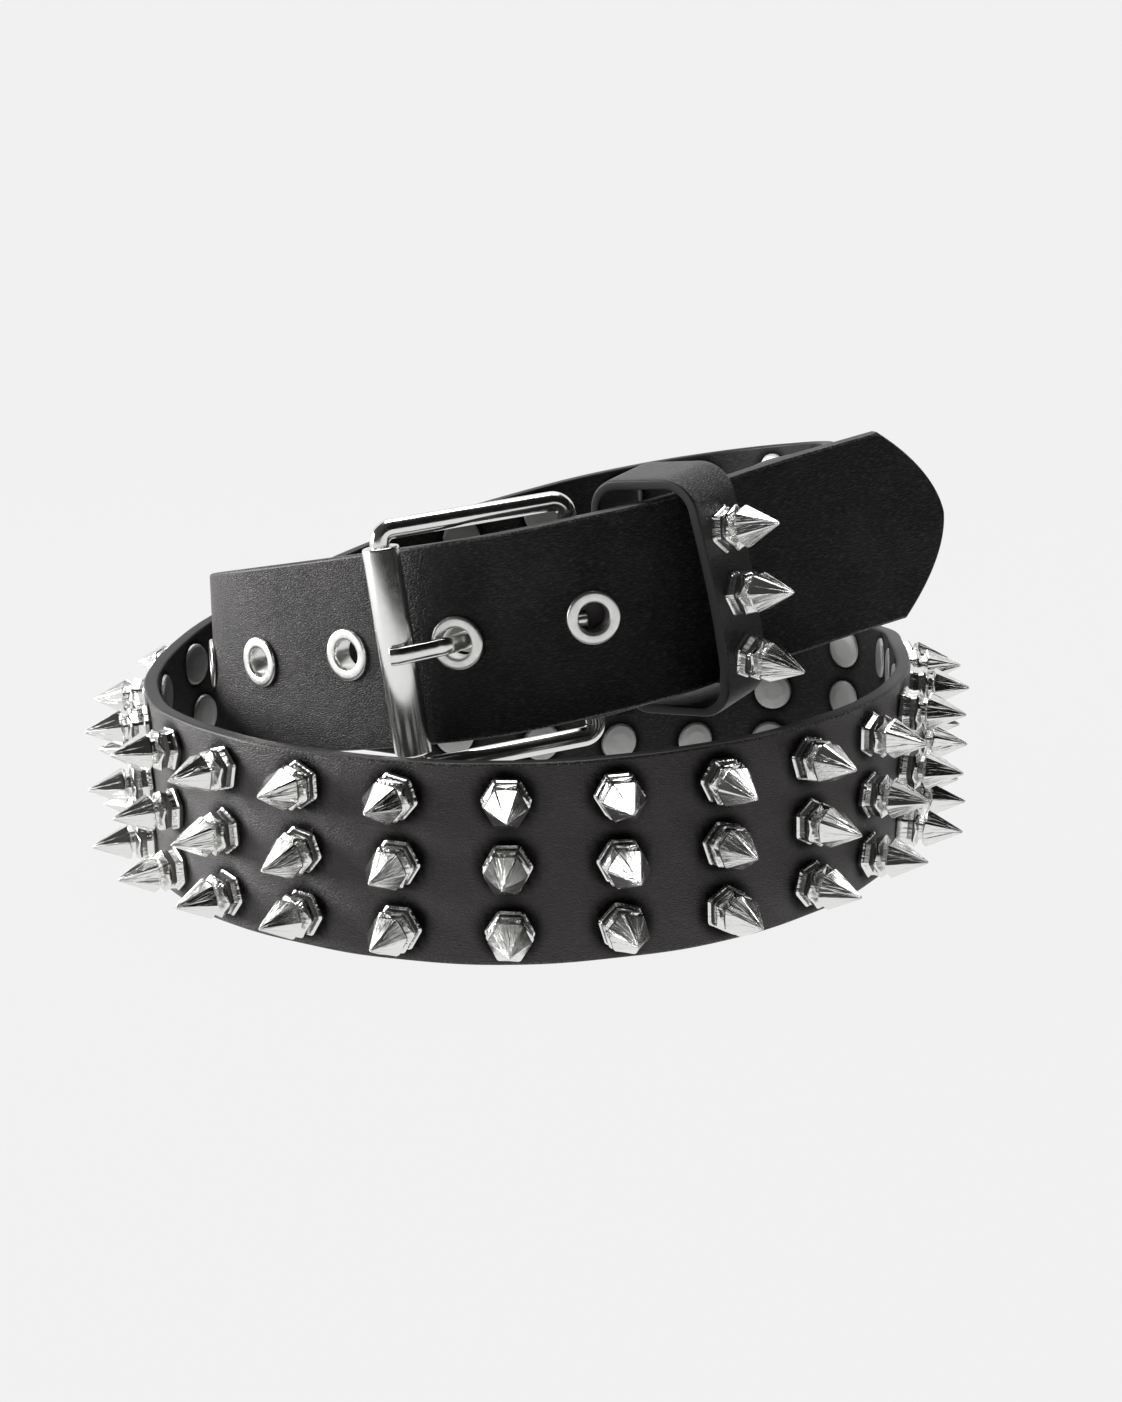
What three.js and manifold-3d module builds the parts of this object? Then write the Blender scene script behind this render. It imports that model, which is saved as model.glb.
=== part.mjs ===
// A studded leather belt, buckled and stood on its lower edge in a double coil.
// Units are millimetres. +Z is up and the floor is z = 0. The buckle faces -Y, with its tongue
// pointing towards -X.

import * as THREE from 'three';
import { mergeVertices } from 'three/addons/utils/BufferGeometryUtils.js';
import Module from 'manifold-3d';

const wasm = await Module();
wasm.setup();

// Leather strap
const BELT_WIDTH = 38;
const BELT_THICKNESS = 3;
const TIP_POINT = 11.6;          // how far the rounded tip reaches past its two corners
const TIP_ROUNDING = 1.8;        // power of the tip's outline: 2 is a parabola, 1 a straight point
const TIP_STEPS = 8;
const STRAP_STEP = 6;            // spacing of the plain strap's sections

// The coil that the strap is wound in: reach is a share of COIL_RADIUS, lift a share of BELT_WIDTH
const COIL_RADIUS = 75;
const CLEARANCE = 0.3;           // gap between pieces that lie on each other

// Spiked studs, with a six-sided collar tapering to a neck, a six-sided spike, and a rivet head behind
const STUD_PITCH = 20;
const ROW_SPACING = 12.4;
const STUD_HEIGHT = 13;
const STUD_SIDES = 6;
const COLLAR_ACROSS = 9;
const COLLAR_HEIGHT = 3.8;
const NECK_ACROSS = 6.2;
const SPIKE_ACROSS = 8.4;
const SPIKE_START = 4.7;
const STUD_SEAT = 1;             // depth to which studs and rivet heads are pressed into the leather
const FIRST_STUD = 233.5;        // distance from the tip to the first column of studs
const LAST_STUD = 50;            // least distance from the last column to the heel bar
const RIVET_DIAMETER = 8;
const RIVET_HEIGHT = 0.8;
const RIVET_SIDES = 6;

// Eyelets
const EYELETS = 5;
const EYELET_PITCH = 25.4;
const FIRST_EYELET = 76.3;       // distance from the tip to the first eyelet
const EYELET_BORE = 5.8;
const EYELET_WALL = 0.5;
const FLANGE_DIAMETER = 10.3;
const FLANGE_HEIGHT = 0.95;
const LIP_DIAMETER = 8.4;
const LIP_HEIGHT = 0.5;
const EYELET_SIDES = 12;

// Buckle: a wire frame with a roller on its outer bar and a prong curled round its heel bar
const FRAME_WIRE = 3.8;
const FRAME_BARS = 35.8;         // distance between the heel bar's and the outer bar's axes
const FRAME_GAP = 2.1;           // space between a side rail and the strap's edge
const FRAME_CORNER = 2.6;        // radius of the wire's axis in the corners
const HEEL_FROM_TIP = 77.3;      // where the heel bar lies, measured along the tip's strap
const LAP_DROP = 1.6;            // how far the buckle's end hangs below the tip's strap
const BUCKLE_TURN = 2.5;         // degrees by which the buckle has turned off square to the strap
const ROLLER_DIAMETER = 7;
const ROLLER_LENGTH = 40;
const ROLLER_SIDES = 16;
const WIRE_SIDES = 8;
const FOLD_THICKNESS = 2.2;      // the strap's end, pared down where it is folded round the heel bar
const FOLD_TAIL = 4.5;           // length of the folded-back end
const PRONG_WIDTH = 3.4;
const PRONG_THICKNESS = 2;
const PRONG_STEEP = 0.45;        // half of the prong's run along the strap inside the eyelet
const PRONG_SHIFT = 0.4;         // how far it comes up nearer to the tip than the eyelet's middle
const PRONG_LEAN = 2;            // its further run while it rises over the eyelet's flange
const PRONG_EYELET = 1;          // the prong goes through the second eyelet, counted from 0

// Keeper loop
const KEEPER_WIDTH = 13;
const KEEPER_THICKNESS = 2.2;
const KEEPER_FROM_TIP = 54.5;
const KEEPER_SKEW = 25;          // degrees by which the loose loop has turned towards the tip
const KEEPER_PLAY = 0.7;         // room in the loop before and behind what it holds
const KEEPER_ROOM = 1.2;         // room above and below it
const KEEPER_CORNER = 3.5;

const LEATHER = { color: 0x1b1a1a, roughness: 0.55, metalness: 0 };
const CHROME = { color: 0xd8d8d6, roughness: 0.12, metalness: 1 };
const NICKEL = { color: 0xb9b9b6, roughness: 0.3, metalness: 1 };

// One row for each section of the coil, from the tip to just short of the buckle. turn is in
// degrees, clockwise seen from above, from the right-hand side. lift is the height of the strap's middle.
const COIL = [
  { turn: 16.5, reach: 1.11, lift: 1.98 },
  { turn: 30, reach: 0.86, lift: 1.84 },
  { turn: 45, reach: 0.735, lift: 1.73 },
  { turn: 60, reach: 0.695, lift: 1.65 },
  { turn: 80, reach: 0.68, lift: 1.565 },
  { turn: 100, reach: 0.685, lift: 1.475 },
  { turn: 120, reach: 0.68, lift: 1.39 },
  { turn: 140, reach: 0.7, lift: 1.3 },
  { turn: 160, reach: 0.795, lift: 1.2 },
  { turn: 180, reach: 0.91, lift: 1.08 },
  { turn: 200, reach: 0.915, lift: 0.955 },
  { turn: 220, reach: 0.76, lift: 0.835 },
  { turn: 240, reach: 0.615, lift: 0.73 },
  { turn: 260, reach: 0.565, lift: 0.67 },
  { turn: 280, reach: 0.64, lift: 0.62 },
  { turn: 300, reach: 0.89, lift: 0.55 },
  { turn: 310, reach: 1.1, lift: 0.52 },
  { turn: 320, reach: 1.215, lift: 0.5 },
  { turn: 330, reach: 1.22, lift: 0.51 },
  { turn: 340, reach: 1.135, lift: 0.55 },
  { turn: 360, reach: 1.03, lift: 0.6 },
  { turn: 380, reach: 1.01, lift: 0.59 },
  { turn: 400, reach: 0.995, lift: 0.565 },
  { turn: 420, reach: 0.985, lift: 0.535 },
  { turn: 440, reach: 0.985, lift: 0.51 },
  { turn: 460, reach: 1, lift: 0.5 },
  { turn: 480, reach: 1.01, lift: 0.5 },
  { turn: 500, reach: 1.035, lift: 0.5 },
  { turn: 520, reach: 1.075, lift: 0.5 },
  { turn: 540, reach: 1.1, lift: 0.55 },
  { turn: 560, reach: 1.065, lift: 0.68 },
  { turn: 580, reach: 0.965, lift: 0.88 },
  { turn: 600, reach: 0.915, lift: 1.07 },
  { turn: 620, reach: 0.88, lift: 1.25 },
  { turn: 640, reach: 0.92, lift: 1.4 },
  { turn: 660, reach: 1.015, lift: 1.53 },
  { turn: 680, reach: 1.03, lift: 1.64 },
  { turn: 700, reach: 0.91, lift: 1.715 },
  { turn: 720, reach: 0.77, lift: 1.74 },
  { turn: 740, reach: 0.675, lift: 1.74 },
];
// The buckle's end runs behind the tip's strap before the heel bar. run is the distance to the heel
// bar, and share the part of the heel bar's stand-off at which its middle lies.
const LAP = [
  { run: 30, share: 0.56 },
  { run: 15, share: 0.7 },
  { run: 0, share: 1 },
];

const HALF_WIDTH = BELT_WIDTH / 2;
const HALF_THICK = BELT_THICKNESS / 2;

// Route of the strap's middle line

/** Second derivatives at the knots of the natural cubic spline through the values. */
function splineBends(knots, values) {
  const last = knots.length - 1;
  const bends = new Array(last + 1).fill(0);
  const diagonal = [1];
  const right = [0];
  for (let i = 1; i < last; i++) {
    const before = knots[i] - knots[i - 1];
    const after = knots[i + 1] - knots[i];
    const jump = 6 * ((values[i + 1] - values[i]) / after - (values[i] - values[i - 1]) / before);
    const above = i === 1 ? 0 : before;
    const factor = above / diagonal[i - 1];
    diagonal.push(2 * (before + after) - factor * above);
    right.push(jump - factor * right[i - 1]);
  }
  for (let i = last - 1; i > 0; i--) {
    const after = knots[i + 1] - knots[i];
    bends[i] = (right[i] - after * bends[i + 1]) / diagonal[i];
  }
  return bends;
}

/** Index of the stretch between knots that holds q. */
function stretchOf(knots, q) {
  let i = 0;
  while (i < knots.length - 2 && q > knots[i + 1]) i++;
  return i;
}

function splineAt(knots, values, bends, q) {
  const i = stretchOf(knots, q);
  const h = knots[i + 1] - knots[i];
  const a = (knots[i + 1] - q) / h;
  const b = 1 - a;
  const curve = ((a ** 3 - a) * bends[i] + (b ** 3 - b) * bends[i + 1]) * h * h / 6;
  return a * values[i] + b * values[i + 1] + curve;
}

/** Slopes for a cubic that never overshoots its values, so that level stretches stay level. */
function levelSlopes(knots, values) {
  const last = knots.length - 1;
  const rise = (i) => (values[i + 1] - values[i]) / (knots[i + 1] - knots[i]);
  return knots.map((knot, i) => {
    if (i === 0) return rise(0);
    if (i === last) return rise(last - 1);
    if (rise(i - 1) * rise(i) <= 0) return 0;
    const before = knots[i] - knots[i - 1];
    const after = knots[i + 1] - knots[i];
    const w1 = 2 * after + before;
    const w2 = after + 2 * before;
    return (w1 + w2) / (w1 / rise(i - 1) + w2 / rise(i));
  });
}

function levelAt(knots, values, slopes, q) {
  const i = stretchOf(knots, q);
  const h = knots[i + 1] - knots[i];
  const u = (q - knots[i]) / h;
  const v = 1 - u;
  return (1 + 2 * u) * v * v * values[i] + u * v * v * h * slopes[i]
    + u * u * (3 - 2 * u) * values[i + 1] - u * u * v * h * slopes[i + 1];
}

/** A smooth route through the points. at(s) gives the middle line's point at the length s, with
 *  the directions along the strap, out of its studded face and up across its width. */
function routeThrough(points) {
  const knots = [0];
  for (let i = 1; i < points.length; i++) {
    const step = Math.hypot(points[i].x - points[i - 1].x, points[i].y - points[i - 1].y);
    knots.push(knots[i - 1] + step);
  }
  const xs = points.map((p) => p.x);
  const ys = points.map((p) => p.y);
  const zs = points.map((p) => p.z);
  const xBends = splineBends(knots, xs);
  const yBends = splineBends(knots, ys);
  const slopes = levelSlopes(knots, zs);
  const count = Math.floor(knots[knots.length - 1]) + 1;
  const line = [];
  for (let k = 0; k < count; k++) {
    const q = knots[knots.length - 1] * k / (count - 1);
    line.push(new THREE.Vector3(
      splineAt(knots, xs, xBends, q), splineAt(knots, ys, yBends, q), levelAt(knots, zs, slopes, q)));
  }
  const lengths = [0];
  for (let k = 1; k < count; k++) lengths.push(lengths[k - 1] + line[k].distanceTo(line[k - 1]));
  const headings = line.map((p, k) => {
    const a = line[Math.max(k - 1, 0)];
    const b = line[Math.min(k + 1, count - 1)];
    return b.clone().sub(a).normalize();
  });
  const at = (s) => {
    const k = stretchOf(lengths, s);
    const share = (s - lengths[k]) / (lengths[k + 1] - lengths[k]);
    const point = line[k].clone().lerp(line[k + 1], share);
    const along = headings[k].clone().lerp(headings[k + 1], share).normalize();
    const out = new THREE.Vector3(-along.y, along.x, 0).normalize();
    const up = along.clone().cross(out);
    return { point, along, out, up };
  };
  return { at, length: lengths[count - 1] };
}

/** The point at length s of a route, v across the strap and n out of its face. */
function onStrap(route, s, v, n) {
  const f = route.at(s);
  return f.point.clone().addScaledVector(f.up, v).addScaledVector(f.out, n);
}

const coilPoints = COIL.map(({ turn, reach, lift }) => {
  const angle = THREE.MathUtils.degToRad(turn);
  const radius = reach * COIL_RADIUS;
  return new THREE.Vector3(radius * Math.cos(angle), -radius * Math.sin(angle), lift * BELT_WIDTH);
});
const tipRoute = routeThrough(coilPoints);

const foldRadius = FRAME_WIRE / 2 + CLEARANCE + FOLD_THICKNESS;

/** The buckle with its outer bar over the length s of the tip's strap. Both bars lie along one
 *  direction, BUCKLE_TURN off the middle of the strap's own there. Where the strap is twisted against
 *  a bar, the bar stands off further, so that it clears the strap's edges. */
function buckleOver(s) {
  const direction = tipRoute.at(HEEL_FROM_TIP).up.add(tipRoute.at(s).up).normalize()
    .applyAxisAngle(tipRoute.at(s).out, -THREE.MathUtils.degToRad(BUCKLE_TURN));
  const standOff = (station, radius) => HALF_THICK + CLEARANCE + radius
    + HALF_WIDTH * Math.abs(direction.dot(tipRoute.at(station).out));
  const lap = standOff(HEEL_FROM_TIP, foldRadius) + LIP_HEIGHT + CLEARANCE / 2;
  const heelAxis = onStrap(tipRoute, HEEL_FROM_TIP, -LAP_DROP, -lap);
  const outerAxis = onStrap(tipRoute, s, 0, standOff(s, ROLLER_DIAMETER / 2));
  const across = outerAxis.sub(heelAxis);
  across.addScaledVector(direction, -across.dot(direction));
  return { direction, lap, across: across.clone().normalize(), bars: across.length() };
}

let outerBarFromTip = HEEL_FROM_TIP + FRAME_BARS;
for (let round = 0; round < 8; round++) outerBarFromTip += FRAME_BARS - buckleOver(outerBarFromTip).bars;
const buckle = buckleOver(outerBarFromTip);
const barDirection = buckle.direction;
const lapOffset = buckle.lap;

const lapPoints = LAP.map(({ run, share }) => onStrap(
  tipRoute, HEEL_FROM_TIP - run, -LAP_DROP, -share * lapOffset));
const route = routeThrough([...coilPoints, ...lapPoints]);

// Solids from rings, lathes and cuts

/** Closed body through rings of points that run anticlockwise seen from ahead. A loop of rings
 *  closes on itself; otherwise both ends get a flat cap. */
function skin(rings, loop = false) {
  const size = rings[0].length;
  const faces = [];
  const strips = loop ? rings.length : rings.length - 1;
  for (let i = 0; i < strips; i++) {
    const a = i * size;
    const b = ((i + 1) % rings.length) * size;
    for (let j = 0; j < size; j++) {
      const k = (j + 1) % size;
      faces.push(a + j, a + k, b + k, a + j, b + k, b + j);
    }
  }
  if (!loop) {
    const end = (rings.length - 1) * size;
    for (let j = 1; j < size - 1; j++) {
      faces.push(0, j + 1, j, end, end + j, end + j + 1);
    }
  }
  const geometry = new THREE.BufferGeometry();
  const numbers = rings.flat().flatMap((p) => [p.x, p.y, p.z]);
  geometry.setAttribute('position', new THREE.Float32BufferAttribute(numbers, 3));
  geometry.setIndex(faces);
  return geometry;
}

/** Body turned round the Y axis from a closed profile of [radius, height] points. */
function turned(profile, sides, start = 0) {
  const points = profile.map(([radius, height]) => new THREE.Vector2(radius, height));
  return new THREE.LatheGeometry(points, sides, start);
}

/** Geometry as a solid that can be joined and cut: shared corners merged, empty faces dropped. */
function solidOf(geometry) {
  const bare = new THREE.BufferGeometry();
  bare.setAttribute('position', geometry.getAttribute('position').clone());
  bare.setIndex(geometry.getIndex());
  const merged = mergeVertices(bare, 1e-4);
  const index = merged.getIndex().array;
  const faces = [];
  for (let i = 0; i < index.length; i += 3) {
    const [a, b, c] = [index[i], index[i + 1], index[i + 2]];
    if (a !== b && b !== c && c !== a) faces.push(a, b, c);
  }
  return new wasm.Manifold(new wasm.Mesh({
    numProp: 3,
    vertProperties: new Float32Array(merged.getAttribute('position').array),
    triVerts: new Uint32Array(faces),
  }));
}

function geometryOf(solid) {
  const mesh = solid.getMesh();
  const geometry = new THREE.BufferGeometry();
  geometry.setAttribute('position', new THREE.BufferAttribute(new Float32Array(mesh.vertProperties), 3));
  geometry.setIndex(new THREE.BufferAttribute(new Uint32Array(mesh.triVerts), 1));
  geometry.computeVertexNormals();
  return geometry;
}

/** Moves a turned body so that its axis stands out of the strap at (s, v), n above its middle. */
function standOn(geometry, s, v, n) {
  const f = route.at(s);
  const place = new THREE.Matrix4().makeBasis(f.along, f.out, f.up).setPosition(onStrap(route, s, v, n));
  return geometry.clone().applyMatrix4(place);
}

// Studs and rivet heads

const rowOffsets = [ROW_SPACING, 0, -ROW_SPACING];
const collar = COLLAR_ACROSS / 2;

const studGeometry = turned([
  [0, -STUD_SEAT],
  [collar, -STUD_SEAT],
  [NECK_ACROSS / 2, COLLAR_HEIGHT],
  [SPIKE_ACROSS / 2, SPIKE_START],
  [0, STUD_HEIGHT],
], STUD_SIDES);

const rivetGeometry = turned([
  [0, -RIVET_HEIGHT],
  [RIVET_DIAMETER / 2, -RIVET_HEIGHT],
  [RIVET_DIAMETER / 2, STUD_SEAT],
  [0, STUD_SEAT],
], RIVET_SIDES);

/** Turn of a stud about its own axis: no two neighbours are screwed home alike. */
function studTurn(column, row) {
  return THREE.MathUtils.degToRad(60 * Math.abs(Math.sin(12.9 * column + 78.2 * row)));
}

const columns = [];
for (let s = FIRST_STUD; s <= route.length - LAST_STUD; s += STUD_PITCH) columns.push(s);

const studs = columns.flatMap((s, column) => rowOffsets.flatMap((v, row) => {
  const stud = studGeometry.clone().rotateY(studTurn(column, row));
  return [standOn(stud, s, v, HALF_THICK), standOn(rivetGeometry, s, v, -HALF_THICK)];
}));

// Strap, with its folded end

/** Lengths at which the strap has a section: the tip's rounding, plain steps, and two sections
 *  beside each column of studs so that no seam crosses a stud. */
function strapSections() {
  const beside = COLLAR_ACROSS / 2 + 1;
  const sections = [];
  for (let j = 1; j <= TIP_STEPS; j++) sections.push(TIP_POINT * (j / TIP_STEPS) ** TIP_ROUNDING);
  const plain = (from, to) => {
    const steps = Math.max(Math.ceil((to - from) / STRAP_STEP), 1);
    for (let j = 1; j <= steps; j++) sections.push(from + (to - from) * j / steps);
  };
  plain(TIP_POINT, columns[0] - beside);
  for (const s of columns) {
    if (s > columns[0]) sections.push(s - beside);
    sections.push(s + beside);
  }
  plain(columns[columns.length - 1] + beside, route.length);
  return sections;
}

function halfWidthAt(s) {
  return s >= TIP_POINT ? HALF_WIDTH : HALF_WIDTH * (s / TIP_POINT) ** (1 / TIP_ROUNDING);
}

/** Four corners of the strap's section at s, between the offsets inner and outer. */
function sectionAt(s, inner, outer) {
  const half = halfWidthAt(s);
  return [[-half, outer], [half, outer], [half, inner], [-half, inner]]
    .map(([v, n]) => onStrap(route, s, v, n));
}

const strapBody = solidOf(skin(strapSections().map((s) => sectionAt(s, -HALF_THICK, HALF_THICK))));

const heel = route.at(route.length).point;
const acrossFrame = buckle.across;
const outOfFrame = barDirection.clone().cross(acrossFrame);
const outerBar = heel.clone().addScaledVector(acrossFrame, FRAME_BARS);

/** The point at a across the frame from the heel bar, b out of its plane and c along the bars. */
function onFrame(a, b, c) {
  return heel.clone()
    .addScaledVector(acrossFrame, a).addScaledVector(outOfFrame, b).addScaledVector(barDirection, c);
}

/** Round bar along the buckle's bars, centred on a point. */
function barAt(centre, radius, length, sides) {
  const axes = new THREE.Matrix4().makeBasis(acrossFrame, barDirection, outOfFrame.clone().negate());
  return new THREE.CylinderGeometry(radius, radius, length, sides).applyMatrix4(axes.setPosition(centre));
}

const foldSections = [];
for (let run = FOLD_TAIL; run >= 0; run -= FOLD_TAIL / 4) foldSections.push(route.length - run);
const foldOverlap = 0.4;
const foldInner = -HALF_THICK - FOLD_THICKNESS;
const foldTail = solidOf(skin(foldSections.map((s) => sectionAt(s, foldInner, foldOverlap - HALF_THICK))));
const foldSleeve = solidOf(barAt(heel, foldRadius, BELT_WIDTH, ROLLER_SIDES));
const foldBore = solidOf(barAt(heel, FRAME_WIRE / 2 + CLEARANCE, BELT_WIDTH + 20, ROLLER_SIDES));
const curlRadius = FRAME_WIRE / 2 + CLEARANCE + PRONG_THICKNESS / 2;
const slotRadius = curlRadius + PRONG_THICKNESS / 2 + CLEARANCE * 2;
const foldSlot = solidOf(barAt(heel, slotRadius, PRONG_WIDTH + 4 * CLEARANCE, ROLLER_SIDES));

// Eyelets

const eyeletSeats = [];
for (let k = 0; k < EYELETS; k++) eyeletSeats.push(FIRST_EYELET + k * EYELET_PITCH);
const eyeletBore = EYELET_BORE / 2;
const barrel = eyeletBore + EYELET_WALL;
const lipTop = -HALF_THICK - CLEARANCE * 1.5;
const flangeBase = HALF_THICK + CLEARANCE;

const eyeletGeometry = geometryOf(solidOf(turned([
  [eyeletBore, lipTop - LIP_HEIGHT],
  [LIP_DIAMETER / 2, lipTop - LIP_HEIGHT],
  [LIP_DIAMETER / 2, lipTop],
  [barrel, lipTop],
  [barrel, flangeBase],
  [FLANGE_DIAMETER / 2, flangeBase],
  [FLANGE_DIAMETER * 0.42, flangeBase + FLANGE_HEIGHT],
  [eyeletBore + EYELET_WALL / 2, flangeBase + FLANGE_HEIGHT],
  [eyeletBore, flangeBase + FLANGE_HEIGHT / 2],
  [eyeletBore, lipTop - LIP_HEIGHT],
], EYELET_SIDES)));

const holePunch = new THREE.CylinderGeometry(
  barrel + CLEARANCE, barrel + CLEARANCE, BELT_THICKNESS * 3, EYELET_SIDES);
const holes = eyeletSeats.map((s) => solidOf(standOn(holePunch, s, 0, 0)));

const strapSolid = wasm.Manifold.union([
  strapBody,
  foldTail,
  foldSleeve,
  ...studs.map(solidOf),
]).subtract(wasm.Manifold.union([foldBore, foldSlot, ...holes]));

// Buckle

const railOffset = HALF_WIDTH + FRAME_GAP + FRAME_WIRE / 2;

/** Rings of a bar with the given section, carried along points with an upright direction. */
function carried(points, section, upright, loop = false) {
  const last = points.length - 1;
  return points.map((p, i) => {
    const before = loop ? points[(i + last) % points.length] : points[Math.max(i - 1, 0)];
    const after = loop ? points[(i + 1) % points.length] : points[Math.min(i + 1, last)];
    const along = after.clone().sub(before).normalize();
    const side = upright.clone().cross(along).normalize();
    const up = along.clone().cross(side);
    return section.map(([y, z]) => p.clone().addScaledVector(side, y).addScaledVector(up, z));
  });
}

function roundSection(radius, sides) {
  return Array.from({ length: sides }, (_, k) => {
    const angle = 2 * Math.PI * (k + 0.5) / sides;
    return [radius * Math.cos(angle), radius * Math.sin(angle)];
  });
}

/** Rectangle with half-sizes y and z. */
function plainSection(y, z) {
  return [[y, -z], [y, z], [-y, z], [-y, -z]];
}

/** Points of a rounded rectangle from corner to corner, anticlockwise in its own (a, c) plane. */
function roundedRectangle(low, high, half, radius, steps) {
  const points = [];
  const corners = [
    [high - radius, half - radius, 0],
    [low + radius, half - radius, 90],
    [low + radius, -half + radius, 180],
    [high - radius, -half + radius, 270],
  ];
  for (const [a, c, start] of corners) {
    for (let j = 0; j <= steps; j++) {
      const angle = THREE.MathUtils.degToRad(start + 90 * j / steps);
      points.push([a + radius * Math.cos(angle), c + radius * Math.sin(angle)]);
    }
  }
  return points;
}

const framePath = roundedRectangle(0, FRAME_BARS, railOffset, FRAME_CORNER, 4)
  .map(([a, c]) => onFrame(a, 0, c));
const frameGeometry = skin(
  carried(framePath, roundSection(FRAME_WIRE / 2, WIRE_SIDES), outOfFrame, true), true);

const rollerTube = [
  [FRAME_WIRE / 2 + CLEARANCE, -ROLLER_LENGTH / 2],
  [ROLLER_DIAMETER / 2, -ROLLER_LENGTH / 2],
  [ROLLER_DIAMETER / 2, ROLLER_LENGTH / 2],
  [FRAME_WIRE / 2 + CLEARANCE, ROLLER_LENGTH / 2],
  [FRAME_WIRE / 2 + CLEARANCE, -ROLLER_LENGTH / 2],
];
const frameAxes = new THREE.Matrix4()
  .makeBasis(acrossFrame, barDirection, outOfFrame.clone().negate()).setPosition(outerBar);
const rollerGeometry = geometryOf(solidOf(turned(rollerTube, ROLLER_SIDES)))
  .applyMatrix4(frameAxes);

// The prong's middle line: a curl round the heel bar, a run behind the strap, a steep step up
// through the eyelet and a straight run to the roller's crest
const prongSeat = eyeletSeats[PRONG_EYELET] - PRONG_SHIFT;
const overFlange = HALF_THICK + 3 * CLEARANCE + FLANGE_HEIGHT + PRONG_THICKNESS / 2;
const curlStart = 350;
const curlEnd = 90;
const curlSteps = 8;
const curl = [];
for (let j = 0; j < curlSteps; j++) {
  const angle = THREE.MathUtils.degToRad(curlStart + (curlEnd - curlStart) * j / curlSteps);
  curl.push(onFrame(curlRadius * Math.cos(angle), curlRadius * Math.sin(angle), 0));
}
const behind = -(lapOffset - curlRadius);
const crest = ROLLER_DIAMETER / 2 + CLEARANCE + PRONG_THICKNESS / 2;
const prongRun = new THREE.CatmullRomCurve3([
  onFrame(0, curlRadius, 0),
  onStrap(route, HEEL_FROM_TIP + 8, -0.7 * LAP_DROP, behind),
  onStrap(route, prongSeat - 7, 0, behind),
  onStrap(route, prongSeat - 3 * PRONG_STEEP, 0, behind + 0.4),
  onStrap(route, prongSeat - PRONG_STEEP, 0, -HALF_THICK),
  onStrap(route, prongSeat, 0, 0),
  onStrap(route, prongSeat + PRONG_STEEP, 0, HALF_THICK / 2),
  onStrap(route, prongSeat + PRONG_LEAN, 0, overFlange),
  onFrame(FRAME_BARS - ROLLER_DIAMETER, crest - 1, 0),
  onFrame(FRAME_BARS, crest, 0),
  onFrame(FRAME_BARS + 2, crest - 0.3, 0),
], false, 'centripetal').getPoints(30);
const prongGeometry = skin(carried(
  [...curl, ...prongRun], plainSection(PRONG_THICKNESS / 2, PRONG_WIDTH / 2), barDirection));

// Keeper, a closed loop round both straps, skewed because it is loose

const keeperSeat = tipRoute.at(KEEPER_FROM_TIP);
const skew = THREE.MathUtils.degToRad(KEEPER_SKEW);
const keeperOut = keeperSeat.out.clone().multiplyScalar(Math.cos(skew))
  .addScaledVector(keeperSeat.along, -Math.sin(skew));
const keeperAcross = keeperOut.clone().cross(keeperSeat.up).normalize();

/** Corners of the strap's sections on both sides of length s. */
function cornersNear(s) {
  const corners = [];
  for (let run = -1.5 * KEEPER_WIDTH; run <= 1.5 * KEEPER_WIDTH; run += KEEPER_WIDTH / 30) {
    for (const v of [-HALF_WIDTH, HALF_WIDTH]) {
      for (const n of [-HALF_THICK, HALF_THICK]) {
        corners.push(onStrap(route, Math.min(s + run, route.length), v, n));
      }
    }
  }
  return corners;
}

/** Corners of the folded end: its tail and the sleeve round the heel bar. */
function cornersOfFold() {
  const corners = foldSections.flatMap((s) => sectionAt(s, foldInner, HALF_THICK));
  for (let turn = 0; turn < ROLLER_SIDES; turn++) {
    const angle = 2 * Math.PI * turn / ROLLER_SIDES;
    for (const c of [-HALF_WIDTH, HALF_WIDTH]) {
      corners.push(onFrame(foldRadius * Math.cos(angle), foldRadius * Math.sin(angle), c));
    }
  }
  return corners;
}

// What the loop holds, as depth out of the keeper and height across the strap
const heldCorners = [
  ...cornersNear(KEEPER_FROM_TIP),
  ...cornersNear(route.length - HEEL_FROM_TIP + KEEPER_FROM_TIP),
  ...cornersOfFold(),
].map((corner) => corner.sub(keeperSeat.point))
  .filter((corner) => Math.abs(corner.dot(keeperAcross)) < KEEPER_WIDTH / 2 + 2 * CLEARANCE)
  .map((corner) => ({ depth: corner.dot(keeperOut), height: corner.dot(keeperSeat.up) }));
const heldDepths = heldCorners.map((c) => c.depth);
const heldHeights = heldCorners.map((c) => c.height);
const keeperFront = Math.max(...heldDepths) + KEEPER_PLAY + KEEPER_THICKNESS / 2;
const keeperBack = Math.min(...heldDepths) - KEEPER_PLAY - KEEPER_THICKNESS / 2;
const keeperTop = Math.max(...heldHeights) + KEEPER_ROOM + KEEPER_THICKNESS / 2;
const keeperFoot = Math.min(...heldHeights) - KEEPER_ROOM - KEEPER_THICKNESS / 2;
const keeperMiddle = (keeperTop + keeperFoot) / 2;

function onKeeper(depth, v) {
  return keeperSeat.point.clone()
    .addScaledVector(keeperOut, depth).addScaledVector(keeperSeat.up, keeperMiddle + v);
}

const keeperPath = roundedRectangle(keeperBack, keeperFront, keeperTop - keeperMiddle, KEEPER_CORNER, 5)
  .map(([depth, v]) => onKeeper(depth, v));
const keeperGeometry = skin(carried(
  keeperPath, plainSection(KEEPER_THICKNESS / 2, KEEPER_WIDTH / 2), keeperAcross, true), true);

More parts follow.
